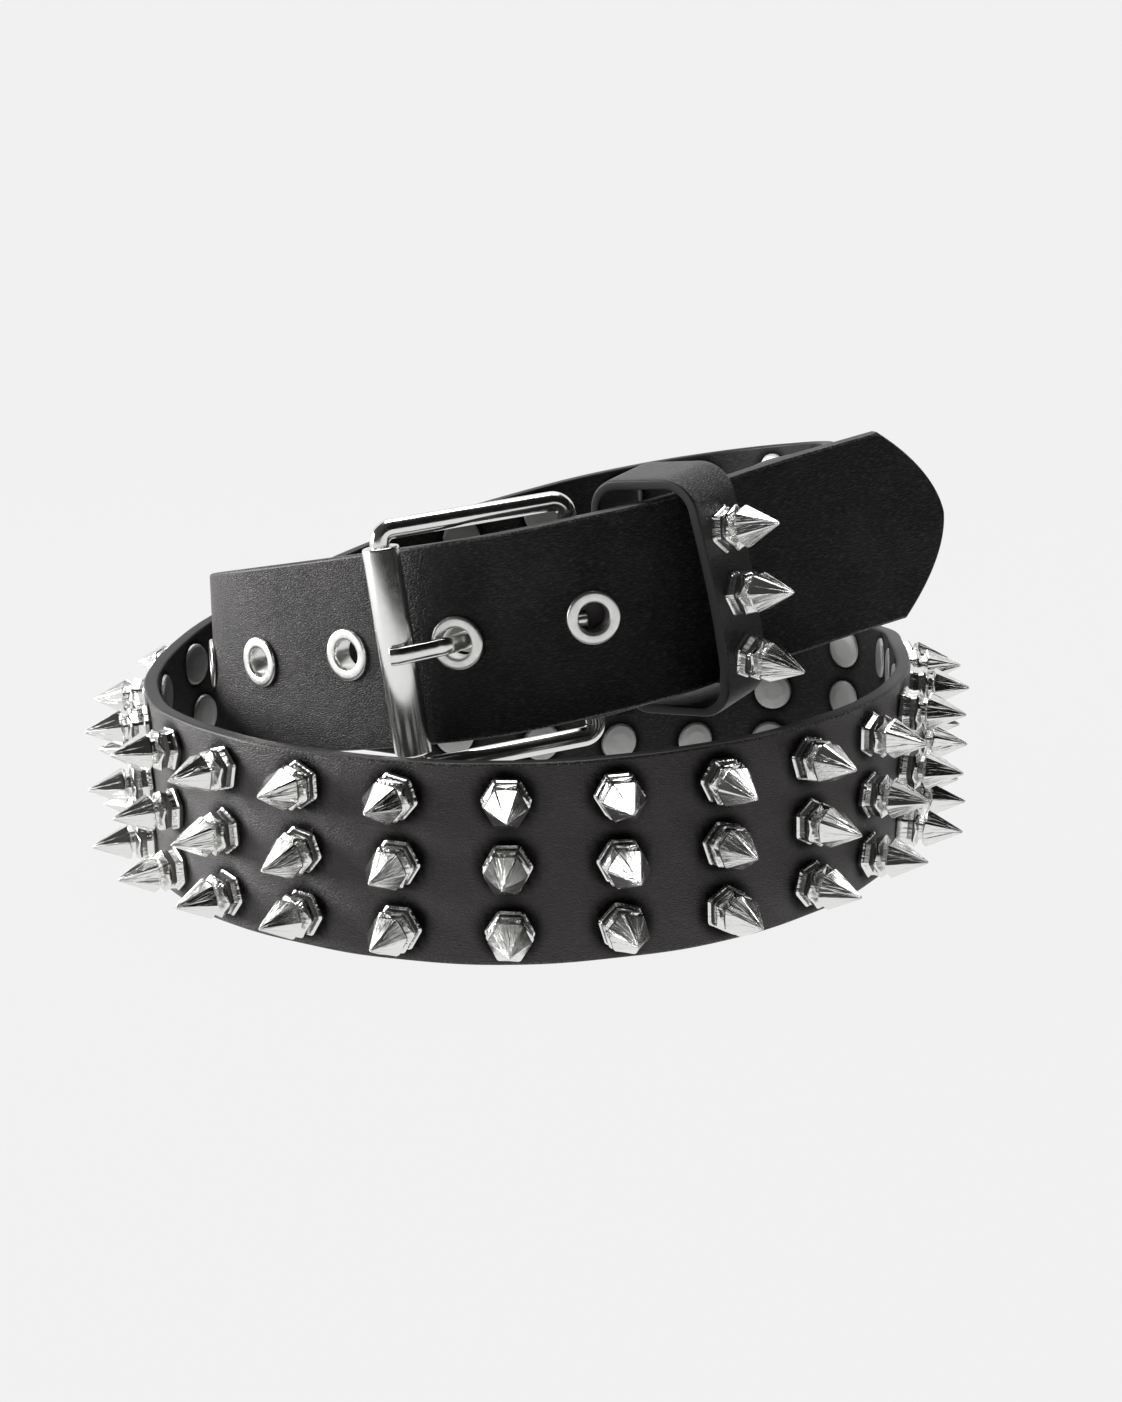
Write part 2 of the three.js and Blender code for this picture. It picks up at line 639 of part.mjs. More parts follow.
const looseStud = turned([
  [0, CLEARANCE],
  [collar, CLEARANCE],
  [NECK_ACROSS / 2, COLLAR_HEIGHT],
  [SPIKE_ACROSS / 2, SPIKE_START],
  [0, STUD_HEIGHT],
], STUD_SIDES);
const keeperStuds = rowOffsets.map((v, row) => {
  const place = new THREE.Matrix4().makeBasis(keeperAcross, keeperOut, keeperSeat.up)
    .setPosition(onKeeper(keeperFront + KEEPER_THICKNESS / 2, v));
  return geometryOf(solidOf(looseStud.clone().rotateY(studTurn(-1, row)).applyMatrix4(place)));
});

// Assembly

const belt = new THREE.Group();

function add(name, geometry, finish) {
  const mesh = new THREE.Mesh(geometry, new THREE.MeshStandardMaterial(finish));
  mesh.name = name;
  belt.add(mesh);
}

add('strap', geometryOf(strapSolid), LEATHER);
eyeletSeats.forEach((s, k) => add(`eyelet_${k + 1}`, standOn(eyeletGeometry, s, 0, 0), NICKEL));
add('buckle_frame', frameGeometry, CHROME);
add('buckle_roller', rollerGeometry, CHROME);
add('buckle_prong', prongGeometry, CHROME);
add('keeper', keeperGeometry, LEATHER);
keeperStuds.forEach((geometry, k) => add(`keeper_stud_${k + 1}`, geometry, CHROME));

// The origin lies on the floor below the middle of the belt's box
const box = new THREE.Box3().setFromObject(belt);
const middle = box.getCenter(new THREE.Vector3());
belt.position.set(-middle.x, -middle.y, 0);
belt.updateMatrixWorld(true);

export default belt;
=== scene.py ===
"""A studded leather belt, buckled and stood on its edge in a double coil, in a plain pale studio."""

import bmesh
import bpy
import numpy as np
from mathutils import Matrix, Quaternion, Vector


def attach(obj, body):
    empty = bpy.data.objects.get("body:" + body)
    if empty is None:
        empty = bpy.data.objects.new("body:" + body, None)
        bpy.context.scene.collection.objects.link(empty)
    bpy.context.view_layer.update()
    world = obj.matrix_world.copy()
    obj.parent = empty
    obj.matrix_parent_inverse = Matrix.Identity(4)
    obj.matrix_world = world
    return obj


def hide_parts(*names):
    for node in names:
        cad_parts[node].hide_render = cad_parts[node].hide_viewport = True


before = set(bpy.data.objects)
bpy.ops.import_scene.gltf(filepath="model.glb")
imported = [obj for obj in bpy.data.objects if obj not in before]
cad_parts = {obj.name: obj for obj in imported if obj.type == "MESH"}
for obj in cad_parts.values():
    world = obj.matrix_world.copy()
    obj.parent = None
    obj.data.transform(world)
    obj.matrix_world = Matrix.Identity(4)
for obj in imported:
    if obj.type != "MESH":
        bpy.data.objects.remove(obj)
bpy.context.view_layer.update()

# Strap
# One long strip of black coated leather, cut and dyed along its edges, wound in a double coil. Its
# front is finely grained and its back is smooth. Its end is pared down, folded round the heel bar.

MM = 0.001
BELT_WIDTH = 38.0
BELT_THICKNESS = 3.0
COIL_RADIUS = 75.0
TIP_POINT = 11.6            # how far the rounded tip reaches past its two corners
TIP_ROUNDING = 1.8
EDGE_ROUNDING = 0.6
EDGE_ARC = (75, 50, 25, 0)  # directions of the points round an edge's corner, in degrees
ACROSS = 33                 # points across the front and across the back
TIP_ROWS, PLAIN_ROWS, RAMP_ROWS, CURL_ROWS, TAIL_ROWS = 28, 740, 14, 18, 12
HEEL_FROM_TIP = 77.3        # where the heel bar lies, measured along the tip's strap
LAP_OFFSET = 7.3938         # from the middle of the tip's strap to the heel bar's axis behind it
LAP_DROP = 1.6              # how far the buckle's end hangs below the tip's strap
# the buckle's end behind the tip's strap: distance to the heel bar, share of LAP_OFFSET
LAP = (
    (30.0, 0.56),
    (15.0, 0.70),
    (0.0, 1.00),
)
STUD_PITCH = 20.0
FIRST_STUD = 233.5
STUD_COLUMNS = 34
ROW_SPACING = 12.4
EYELETS = 5
EYELET_PITCH = 25.4
FIRST_EYELET = 76.3
FOLD_RADIUS = 3.3           # middle of the folded leather round the heel bar
FOLD_THICKNESS = 2.2
FOLD_RAMP = 15.0
FOLD_TAIL = 4.5
FOLD_CLOSING = 0.85         # how far the tail comes back towards the strap
SLOT_BEFORE = 1.5           # the prong's slot in the fold: where it starts before the bar
SLOT_HALF_WIDTH = 2.8
EYELET_HOLE_RADIUS = 4.0
STUD_DIP = 0.6              # how deep the front is drawn in at a stud
STUD_DIP_RADIUS = 6.0
COLLAR_RADIUS = 4.6         # a painted shadow darkens the leather from here outwards
STUD_SHADOW_REACH = 1.3
WAVE_HEIGHTS = (0.22, 0.12)
ORIGIN_SHIFT = (1.0426, 3.0470, 0.0)    # from the coil's axis to the frame's origin

# turn in degrees, clockwise from above; reach in coil radii; lift of the middle in belt widths
COIL = (
    (16.5, 1.11, 1.98),
    (30, 0.86, 1.84),
    (45, 0.735, 1.73),
    (60, 0.695, 1.65),
    (80, 0.68, 1.565),
    (100, 0.685, 1.475),
    (120, 0.68, 1.39),
    (140, 0.70, 1.30),
    (160, 0.795, 1.20),
    (180, 0.91, 1.08),
    (200, 0.915, 0.955),
    (220, 0.76, 0.835),
    (240, 0.615, 0.73),
    (260, 0.565, 0.67),
    (280, 0.64, 0.62),
    (300, 0.89, 0.55),
    (310, 1.10, 0.52),
    (320, 1.215, 0.50),
    (330, 1.22, 0.51),
    (340, 1.135, 0.55),
    (360, 1.03, 0.60),
    (380, 1.01, 0.59),
    (400, 0.995, 0.565),
    (420, 0.985, 0.535),
    (440, 0.985, 0.51),
    (460, 1.00, 0.50),
    (480, 1.01, 0.50),
    (500, 1.035, 0.50),
    (520, 1.075, 0.50),
    (540, 1.10, 0.55),
    (560, 1.065, 0.68),
    (580, 0.965, 0.88),
    (600, 0.915, 1.07),
    (620, 0.88, 1.25),
    (640, 0.92, 1.40),
    (660, 1.015, 1.53),
    (680, 1.03, 1.64),
    (700, 0.91, 1.715),
    (720, 0.77, 1.74),
    (740, 0.675, 1.74),
)


def unit(vectors):
    """Each vector divided by its length."""
    return vectors / np.linalg.norm(vectors, axis=-1, keepdims=True)


def spline_curve(knots, values, q):
    """Natural cubic spline: a straight blend a, b of the two values beside q, plus the bends there
    times (a^3 - a) and (b^3 - b) and a sixth of the stretch squared. The bends keep slopes equal."""
    gaps = np.diff(knots)
    rows = np.eye(len(knots))
    right = np.zeros(len(knots))
    for i in range(1, len(knots) - 1):
        rows[i, i - 1:i + 2] = gaps[i - 1], 2 * (gaps[i - 1] + gaps[i]), gaps[i]
        right[i] = 6 * ((values[i + 1] - values[i]) / gaps[i] - (values[i] - values[i - 1]) / gaps[i - 1])
    bends = np.linalg.solve(rows, right)
    i = np.clip(np.searchsorted(knots, q) - 1, 0, len(gaps) - 1)
    a = (knots[i + 1] - q) / gaps[i]
    b = 1 - a
    curve = ((a**3 - a) * bends[i] + (b**3 - b) * bends[i + 1]) * gaps[i] ** 2 / 6
    return a * values[i] + b * values[i + 1] + curve


def level_curve(knots, values, q):
    """Cubic through the values that never overshoots: each slope is the weighted harmonic mean of
    the rises beside it, or nothing where they differ in sign."""
    gaps = np.diff(knots)
    rises = np.diff(values) / gaps
    before, after = rises[:-1], rises[1:]
    w1 = 2 * gaps[1:] + gaps[:-1]
    w2 = gaps[1:] + 2 * gaps[:-1]
    same = before * after > 0
    safe = np.where(same, w1 * after + w2 * before, 1.0)
    inner = np.where(same, (w1 + w2) * before * after / safe, 0.0)
    slopes = np.concatenate([rises[:1], inner, rises[-1:]])
    i = np.clip(np.searchsorted(knots, q) - 1, 0, len(gaps) - 1)
    u = (q - knots[i]) / gaps[i]
    v = 1 - u
    start = (1 + 2 * u) * v * v * values[i] + u * v * v * gaps[i] * slopes[i]
    return start + u * u * (3 - 2 * u) * values[i + 1] - u * u * v * gaps[i] * slopes[i + 1]


def route_through(points):
    """Line through the points, in steps of about half a millimetre: spline_curve in plan over the
    chord length, level_curve in height. Returns lengths along it, positions and directions."""
    chords = np.linalg.norm(np.diff(points[:, :2], axis=0), axis=1)
    knots = np.concatenate([[0.0], np.cumsum(chords)])
    q = np.linspace(0.0, knots[-1], int(knots[-1] * 2) + 1)
    line = np.stack([
        spline_curve(knots, points[:, 0], q),
        spline_curve(knots, points[:, 1], q),
        level_curve(knots, points[:, 2], q),
    ], axis=1)
    steps = np.linalg.norm(np.diff(line, axis=0), axis=1)
    lengths = np.concatenate([[0.0], np.cumsum(steps)])
    return lengths, line, unit(np.gradient(line, axis=0))


def frames_at(route, s):
    """Position on the route at the lengths s, with the directions along it, out of the strap's
    front (level, to the left of along) and up across its width (along x out)."""
    lengths, line, headings = route
    s = np.asarray(s, dtype=float)
    place = np.stack([np.interp(s, lengths, line[:, k]) for k in range(3)], axis=-1)
    along = unit(np.stack([np.interp(s, lengths, headings[:, k]) for k in range(3)], axis=-1))
    out = unit(np.stack([-along[..., 1], along[..., 0], np.zeros_like(s)], axis=-1))
    return place, along, out, np.cross(along, out)


def on_strap(route, s, v, n):
    """Route at s, plus v across the width and n out of the front."""
    place, along, out, up = frames_at(route, s)
    return place + np.asarray(v)[..., None] * up + np.asarray(n)[..., None] * out


def smooth_step(q):
    """3 q^2 - 2 q^3 between 0 and 1, level outside."""
    q = np.clip(q, 0.0, 1.0)
    return q * q * (3 - 2 * q)


def to_frame(points):
    """Points in millimetres about the coil's axis, turned into metres in the frame."""
    return (np.asarray(points) + np.array(ORIGIN_SHIFT)) * MM


def mesh_object(name, points, faces, face_materials=None, smooth=True):
    """Mesh at the origin from points in millimetres about the coil's axis and index lists."""
    mesh = bpy.data.meshes.new(name)
    mesh.from_pydata(to_frame(points).tolist(), [], [list(map(int, f)) for f in faces])
    if face_materials is not None:
        mesh.polygons.foreach_set("material_index", np.asarray(face_materials, dtype=np.int32))
    mesh.polygons.foreach_set("use_smooth", np.full(len(mesh.polygons), smooth))
    mesh.update()
    made = bpy.data.objects.new(name, mesh)
    bpy.context.scene.collection.objects.link(made)
    return made


def note_places(made, name, values):
    """Stores a vector for each vertex, which the material reads by its name."""
    layer = made.data.attributes.new(name, "FLOAT_VECTOR", "POINT")
    layer.data.foreach_set("vector", np.asarray(values, dtype=np.float32).ravel())


def quads(rows, columns, wrap_rows=False, wrap_columns=True):
    """Index quads of a grid of points, numbered row by row. Columns run anticlockwise seen from
    ahead of the rows, so the faces look outwards."""
    i = np.arange(rows if wrap_rows else rows - 1)
    j = np.arange(columns if wrap_columns else columns - 1)
    i, j = np.meshgrid(i, j, indexing="ij")
    i2, j2 = (i + 1) % rows, (j + 1) % columns
    corners = [i * columns + j, i * columns + j2, i2 * columns + j2, i2 * columns + j]
    return np.stack(corners, axis=-1).reshape(-1, 4)


tips = np.array(COIL)
angle = np.radians(tips[:, 0])
coil_points = np.stack([
    tips[:, 1] * COIL_RADIUS * np.cos(angle),
    -tips[:, 1] * COIL_RADIUS * np.sin(angle),
    tips[:, 2] * BELT_WIDTH,
], axis=1)
tip_route = route_through(coil_points)
lap_run, lap_share = np.array(LAP).T
lap_points = on_strap(tip_route, HEEL_FROM_TIP - lap_run, np.full(3, -LAP_DROP), -LAP_OFFSET * lap_share)
route = route_through(np.concatenate([coil_points, lap_points]))
belt_length = route[0][-1]
stud_columns = FIRST_STUD + STUD_PITCH * np.arange(STUD_COLUMNS)
stud_rows = np.array([ROW_SPACING, 0.0, -ROW_SPACING])
eyelet_seats = FIRST_EYELET + EYELET_PITCH * np.arange(EYELETS)

OUTER_BAR_FROM_TIP = 111.5072
BUCKLE_TURN = 2.5           # degrees by which the buckle has turned off square to the strap


def bars_along():
    """Direction of the buckle's two bars: the middle of the strap's own directions there, turned
    about the strap's front by Rodrigues' rule d cos + (n x d) sin + n (n.d)(1 - cos)."""
    middle = unit(frames_at(tip_route, HEEL_FROM_TIP)[3] + frames_at(tip_route, OUTER_BAR_FROM_TIP)[3])
    out = frames_at(tip_route, OUTER_BAR_FROM_TIP)[2]
    turn = -np.radians(BUCKLE_TURN)
    return (middle * np.cos(turn) + np.cross(out, middle) * np.sin(turn)
            + out * (out @ middle) * (1 - np.cos(turn)))


bar_direction = bars_along()
heel = route[1][-1]


def strap_rows():
    """Distance along the strap, offset of its middle and thickness for each row of the mesh: the
    tip's rounding, even steps, a ramp out to the fold, half a turn round the bar and the tail."""
    steps = np.arange(1, TIP_ROWS + 1) / TIP_ROWS
    tip = TIP_POINT * steps**TIP_ROUNDING
    plain = np.linspace(TIP_POINT, belt_length - FOLD_RAMP, PLAIN_ROWS)[1:]
    ramp = np.linspace(0.0, 1.0, RAMP_ROWS)[1:]
    s = np.concatenate([tip, plain, belt_length - FOLD_RAMP * (1 - ramp)])
    n = np.concatenate([np.zeros(len(tip) + len(plain)), FOLD_RADIUS * smooth_step(ramp)])
    curl = np.pi * np.linspace(0.0, 1.0, CURL_ROWS)[1:]
    s = np.concatenate([s, belt_length + FOLD_RADIUS * np.sin(curl)])
    n = np.concatenate([n, FOLD_RADIUS * np.cos(curl)])
    tail = np.linspace(0.0, 1.0, TAIL_ROWS)[1:]
    s = np.concatenate([s, belt_length - FOLD_TAIL * tail])
    n = np.concatenate([n, FOLD_CLOSING * smooth_step(tail) - FOLD_RADIUS])
    thin = np.concatenate([np.zeros(len(tip) + len(plain)), ramp, np.ones(len(curl) + len(tail))])
    return s, n, BELT_THICKNESS + (FOLD_THICKNESS - BELT_THICKNESS) * thin


def nearest_stud(s, v):
    """Distance from a point of the strap to the middle of the nearest stud."""
    column = np.clip(np.round((s - FIRST_STUD) / STUD_PITCH), 0, STUD_COLUMNS - 1)
    row = np.clip(np.round(v / ROW_SPACING), -1, 1)
    return np.hypot(s - FIRST_STUD - column * STUD_PITCH, v - row * ROW_SPACING)


def build_strap():
    """Ring of the rounded section at each row. A ring runs along the front from the lower edge to
    the upper, over the edge, down the back and round the lower edge. The front dips round each
    stud by a depth times exp(-(r / radius)^2), and the whole strap waves slightly by two products
    of sines. Near its end the rings turn until they stand along the buckle's bar."""
    s, n_middle, thickness = strap_rows()
    half = np.where(s < TIP_POINT, BELT_WIDTH / 2 * (s / TIP_POINT) ** (1 / TIP_ROUNDING), BELT_WIDTH / 2)
    half[s > belt_length] = BELT_WIDTH / 2
    rounding = np.minimum(EDGE_ROUNDING, half * 0.6)
    spread = np.linspace(-1.0, 1.0, ACROSS)
    arc = np.radians(EDGE_ARC)
    half, rounding, thickness, middle = (a[:, None] for a in (half, rounding, thickness, n_middle))
    face_v = (half - rounding) * spread[None, :]
    face_n = np.broadcast_to(thickness / 2, face_v.shape)
    arc_v = half - rounding + rounding * np.cos(arc)[None, :]
    arc_n = thickness / 2 - rounding + rounding * np.sin(arc)[None, :]
    v = np.concatenate([face_v, arc_v, arc_v[:, ::-1], face_v[:, ::-1], -arc_v, -arc_v[:, ::-1]], axis=1)
    n = np.concatenate([face_n, arc_n, -arc_n[:, ::-1], -face_n, -arc_n, arc_n[:, ::-1]], axis=1)
    s = np.broadcast_to(s[:, None], v.shape)
    studded = smooth_step((s - FIRST_STUD + 12) / 6) * smooth_step((stud_columns[-1] + 12 - s) / 6)
    dip = STUD_DIP * np.exp(-((nearest_stud(s, v) / STUD_DIP_RADIUS) ** 2)) * studded
    long_wave = np.sin(s / 11.3 + v / 23) * np.sin(s / 31 + 1.2)
    wave = WAVE_HEIGHTS[0] * long_wave + WAVE_HEIGHTS[1] * np.sin(s / 5.3 - v / 9)
    wave = wave * smooth_step(s / 30) * smooth_step((belt_length - 20 - s) / 20)
    n = n + middle + wave - np.where(n > 0, dip, 0.3 * dip)

    place, along, out, up = frames_at(route, np.minimum(s[:, 0], belt_length))
    past = np.maximum(s[:, 0] - belt_length, 0.0)
    turn = smooth_step((s[:, 0] - belt_length + 14) / 14)[:, None]
    up = unit(up * (1 - turn) + bar_direction * turn)
    place = place + past[:, None] * along
    points = place[:, None] + v[..., None] * up[:, None] + n[..., None] * out[:, None]

    rows, columns = v.shape
    faces = quads(rows, columns)
    face = len(spread)
    edge = 2 * len(arc)
    kind = np.full(columns, 2)
    kind[:face - 1] = 0
    kind[face + edge:face + edge + face - 1] = 1
    materials = np.broadcast_to(kind[None, :], (rows - 1, columns)).ravel()

    # eyelet holes and the prong's slot: the same cells go from front and back, and walls join them
    s_cell = (s[:-1, :1] + s[1:, :1]) / 2
    v_cell = ((v[:-1, :face - 1] + v[:-1, 1:face]) / 2)
    gone = np.zeros((rows - 1, face - 1), dtype=bool)
    for seat in eyelet_seats:
        gone |= np.hypot(s_cell - seat, v_cell) < EYELET_HOLE_RADIUS
    slot_start = belt_length - SLOT_BEFORE
    in_fold = np.arange(rows - 1) > np.argmax(s[:, 0] > slot_start) - 1
    slot = (s_cell > slot_start) & in_fold[:, None] & (np.abs(v_cell) < SLOT_HALF_WIDTH)
    gone |= slot
    keep = np.ones((rows - 1, columns), dtype=bool)
    keep[:, :face - 1] = ~gone
    keep[:, face + edge:face + edge + face - 1] = ~gone[:, ::-1]
    walls = []
    last = 2 * face + edge - 1
    for di, dj in ((-1, 0), (1, 0), (0, -1), (0, 1)):
        for i, j in np.argwhere(gone):
            a, b = i + di, j + dj
            if 0 <= a < rows - 1 and 0 <= b < face - 1 and gone[a, b]:
                continue
            p, q = {(-1, 0): ((i, j), (i, j + 1)), (1, 0): ((i + 1, j + 1), (i + 1, j)),
                    (0, -1): ((i + 1, j), (i, j)), (0, 1): ((i, j + 1), (i + 1, j + 1))}[di, dj]
            walls.append([p[0] * columns + p[1], q[0] * columns + q[1],
                          q[0] * columns + last - q[1], p[0] * columns + last - p[1]])
    faces = np.concatenate([faces[keep.ravel()], np.array(walls)])
    materials = np.concatenate([materials[keep.ravel()], np.full(len(walls), 2)])
    start = list(range(columns))[::-1]
    end = [(rows - 1) * columns + j for j in range(columns)]
    faces = faces.tolist() + [start, end]
    materials = np.concatenate([materials, [2, 2]])
    made = mesh_object("strap_leather", points.reshape(-1, 3), faces, materials)
    note_places(made, "strap_mm", np.stack([s, v, n], axis=-1).reshape(-1, 3))
    # painted shadow round each stud: the colour is darkened outwards from the collar
    past_collar = np.maximum(nearest_stud(s, v) - COLLAR_RADIUS, 0)
    stud_shadow = np.exp(-((past_collar / STUD_SHADOW_REACH) ** 2)) * studded
    note_places(made, "stud_shadow", np.repeat(stud_shadow.reshape(-1, 1), 3, axis=1))
    return made


strap = build_strap()


def linear(code):
    """sRGB hex colour turned into linear red, green, blue and alpha."""
    c = np.array([int(code[k:k + 2], 16) for k in (1, 3, 5)]) / 255
    c = np.where(c <= 0.04045, c / 12.92, ((c + 0.055) / 1.055) ** 2.4)
    return (float(c[0]), float(c[1]), float(c[2]), 1.0)


def node(tree, kind, settings=None, **links):
    """Adds a shader node. settings holds its options and the values of its inputs; a link names an
    input and gives the output that feeds it."""
    made = tree.nodes.new(kind)
    for key, value in (settings or {}).items():
        if isinstance(key, str) and hasattr(made, key):
            setattr(made, key, value)
        else:
            made.inputs[key].default_value = value
    for key, output in links.items():
        socket = made.inputs[int(key[1:])] if key[1:].isdigit() else made.inputs[key.replace("_", " ")]
        tree.links.new(output, socket)
    return made


def new_material(name):
    """Material with a principled shader; returns it, its node tree and the shader."""
    made = bpy.data.materials.new(name)
    made.use_nodes = True
    return made, made.node_tree, made.node_tree.nodes["Principled BSDF"]


WORN_GREY = "#625e5c"       # under the finish, where it is worn through
# colour of the painted shadow round each stud
STUD_SHADOW_BLACK = "#050505"
PAINTED_TONE_AND_GLOSS_SPAN = (62.0, 240.0)      # from the tip: the tip's painted shade ends, the studded part's painted light begins, and the shine changes between


def leather_material(name, dark, light, roughness, grain, gloss):
    """Black coated leather. Creases part cells of grain half a millimetre across, drawn out along the
    strap. The finish is worn through in fine specks, and its colour drifts over 12 mm. Towards the tip
    the colour is painted deep black as painted shade, over the studded part lighter grey as painted
    light, and round each stud dark as a painted shadow. gloss lists the strength of the shine on both."""
    made, tree, shader = new_material(name)
    place = node(tree, "ShaderNodeAttribute", {"attribute_name": "strap_mm"})
    stud_shadow = node(tree, "ShaderNodeAttribute", {"attribute_name": "stud_shadow"})
    drawn = node(tree, "ShaderNodeMapping", {"Scale": (1.0, 2.1, 2.1)}, Vector=place.outputs["Vector"])
    cells = node(tree, "ShaderNodeTexVoronoi", {"feature": "DISTANCE_TO_EDGE", "Scale": 1.3},
                 Vector=drawn.outputs[0])
    streaky = node(tree, "ShaderNodeMapping", {"Scale": (0.9, 4.2, 4.2)}, Vector=place.outputs["Vector"])
    pores = node(tree, "ShaderNodeTexNoise", {"Scale": 1.0, "Detail": 4.0, "Roughness": 0.6},
                 Vector=streaky.outputs[0])
    broad = node(tree, "ShaderNodeTexNoise", {"Scale": 0.08, "Detail": 3.0}, Vector=place.outputs["Vector"])
    crease = node(tree, "ShaderNodeMapRange", {"From Max": 0.25, "To Max": 0.6},
                  Value=cells.outputs["Distance"])
    height = node(tree, "ShaderNodeMath", {"operation": "ADD"}, _0=crease.outputs[0], _1=pores.outputs["Fac"])
    bump = node(tree, "ShaderNodeBump", {"Strength": grain, "Distance": 0.00016}, Height=height.outputs[0])
    soft = node(tree, "ShaderNodeBump", {"Strength": 0.45, "Distance": 0.0012}, Height=broad.outputs["Fac"],
                Normal=bump.outputs["Normal"])

    along = node(tree, "ShaderNodeSeparateXYZ", Vector=place.outputs["Vector"])
    # painted shade towards the tip and painted light over the studded part: the colour runs from dark to
    # light along the strap
    studded = node(tree, "ShaderNodeMapRange", {"From Min": PAINTED_TONE_AND_GLOSS_SPAN[0], "From Max": PAINTED_TONE_AND_GLOSS_SPAN[1]},
                   Value=along.outputs["X"])
    drift = node(tree, "ShaderNodeMapRange", {"From Min": 0.3, "From Max": 0.7, "To Min": -0.2,
                                              "To Max": 0.2}, Value=broad.outputs["Fac"])
    tone = node(tree, "ShaderNodeMath", {"operation": "ADD", "use_clamp": True},
                _0=studded.outputs[0], _1=drift.outputs[0])
    colour = node(tree, "ShaderNodeMix", {"data_type": "RGBA", 6: linear(dark), 7: linear(light)},
                  _0=tone.outputs[0])
    specks = node(tree, "ShaderNodeMapRange", {"From Min": 0.48, "From Max": 0.7, "To Max": 0.34},
                  Value=pores.outputs["Fac"])
    worn = node(tree, "ShaderNodeMix", {"data_type": "RGBA", 7: linear(WORN_GREY)}, _0=specks.outputs[0],
                _6=colour.outputs[2])
    # painted shadow round each stud darkens the colour
    shade = node(tree, "ShaderNodeMix", {"data_type": "RGBA", 7: linear(STUD_SHADOW_BLACK)},
                 _0=stud_shadow.outputs["Fac"], _6=worn.outputs[2])
    shine = node(tree, "ShaderNodeMapRange", {"To Min": gloss[0], "To Max": gloss[1]},
                 Value=studded.outputs[0])
    dulled = node(tree, "ShaderNodeMapRange", {"To Min": 1.0, "To Max": 0.15}, Value=stud_shadow.outputs["Fac"])
    level = node(tree, "ShaderNodeMath", {"operation": "MULTIPLY"}, _0=shine.outputs[0], _1=dulled.outputs[0])
    rough = node(tree, "ShaderNodeMapRange", {"To Min": roughness - 0.06, "To Max": roughness + 0.08},
                 Value=pores.outputs["Fac"])
    tree.links.new(shade.outputs[2], shader.inputs["Base Color"])
    tree.links.new(level.outputs[0], shader.inputs["Specular IOR Level"])
    tree.links.new(rough.outputs[0], shader.inputs["Roughness"])
    tree.links.new(soft.outputs["Normal"], shader.inputs["Normal"])
    return made


def edge_material():
    """Cut edge of the leather, dyed black: rough fibres, and a thin pale line in specks along the front
    corner, a painted highlight where the corner catches the light."""
    made, tree, shader = new_material("dyed_leather_edge")
    place = node(tree, "ShaderNodeAttribute", {"attribute_name": "strap_mm"})
    fibres = node(tree, "ShaderNodeTexNoise", {"Scale": 2.4, "Detail": 5.0, "Roughness": 0.65},
                  Vector=place.outputs["Vector"])
    bump = node(tree, "ShaderNodeBump", {"Strength": 0.5, "Distance": 0.0001}, Height=fibres.outputs["Fac"])
    depth = node(tree, "ShaderNodeSeparateXYZ", Vector=place.outputs["Vector"])
    # painted highlight: pale specks along the front corner
    corner = node(tree, "ShaderNodeMapRange", {"interpolation_type": "SMOOTHSTEP", "From Min": 0.9,
                                               "From Max": 1.4}, Value=depth.outputs["Z"])
    specks = node(tree, "ShaderNodeMapRange", {"From Min": 0.45, "From Max": 0.7},
                  Value=fibres.outputs["Fac"])
    corner_highlight = node(tree, "ShaderNodeMath", {"operation": "MULTIPLY"}, _0=corner.outputs[0],
                  _1=specks.outputs[0])
    colour = node(tree, "ShaderNodeMix", {"data_type": "RGBA", 6: linear("#252323"), 7: linear("#77736f")},
                  _0=corner_highlight.outputs[0])
    tree.links.new(colour.outputs[2], shader.inputs["Base Color"])
    tree.links.new(bump.outputs["Normal"], shader.inputs["Normal"])
    shader.inputs["Roughness"].default_value = 0.45
    shader.inputs["Specular IOR Level"].default_value = 0.35
    return made


# the front is painted deep black towards the tip as painted shade and lighter grey over the studs as painted
# light; the lining behind takes the same grain, finer and without shine
leather_front = leather_material("black_grain_leather", "#0c0c0c", "#3e393a", 0.42, 0.8, (0.2, 0.5))
leather_back = leather_material("black_leather_lining", "#141414", "#1a1919", 0.6, 0.35, (0.2, 0.25))
leather_edge = edge_material()
for finish in (leather_front, leather_back, leather_edge):
    strap.data.materials.append(finish)
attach(strap, "root")
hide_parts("strap")

# Studs and rivet heads
# Cast and chromed spikes in three rows. Each has a six-sided base with a waist, a narrow neck and a
# six-sided spike with slightly rounded corners, and is held by a rivet whose head shows behind.

STUD_SIDES = 6
STUD_SINK = 0.35            # how far a collar is pressed into the leather
RIVET_SINK = 0.1
STUD_LEAN = 3.5             # largest lean of a stud, in degrees
COPY_SPACING = 40.0         # sets the copies' surface patterns apart
RAY_RADIUS = 4.0
CORNER_SHARE = 3.5          # half of a rounded corner, in degrees round the axis
# radius to the corners, height above the leather, rise of the corners above the middle of the sides
STUD_PROFILE = (
    (4.30, -0.80, 0.00),
    (4.62, 0.00, 0.00),
    (4.68, 0.75, 0.00),
    (4.34, 0.95, 0.00),
    (4.20, 1.15, 0.00),
    (4.00, 2.10, 0.00),
    (4.18, 3.10, 0.00),
    (4.42, 3.75, -0.30),
    (4.12, 4.20, -0.50),
    (2.70, 4.35, -0.10),
    (2.55, 5.05, 0.00),
    (3.70, 5.15, 0.25),
    (4.08, 5.35, 0.32),
    (4.02, 5.80, 0.15),
    (0.38, 12.74, 0.00),
    (0.18, 12.95, 0.00),
)
# radius, height behind the leather's back, rise of the corners
RIVET_PROFILE = (
    (4.55, -0.30, 0.0),
    (4.65, 0.20, 0.0),
    (4.45, 0.62, 0.0),
    (4.00, 0.84, 0.0),
    (2.30, 1.00, 0.0),
)


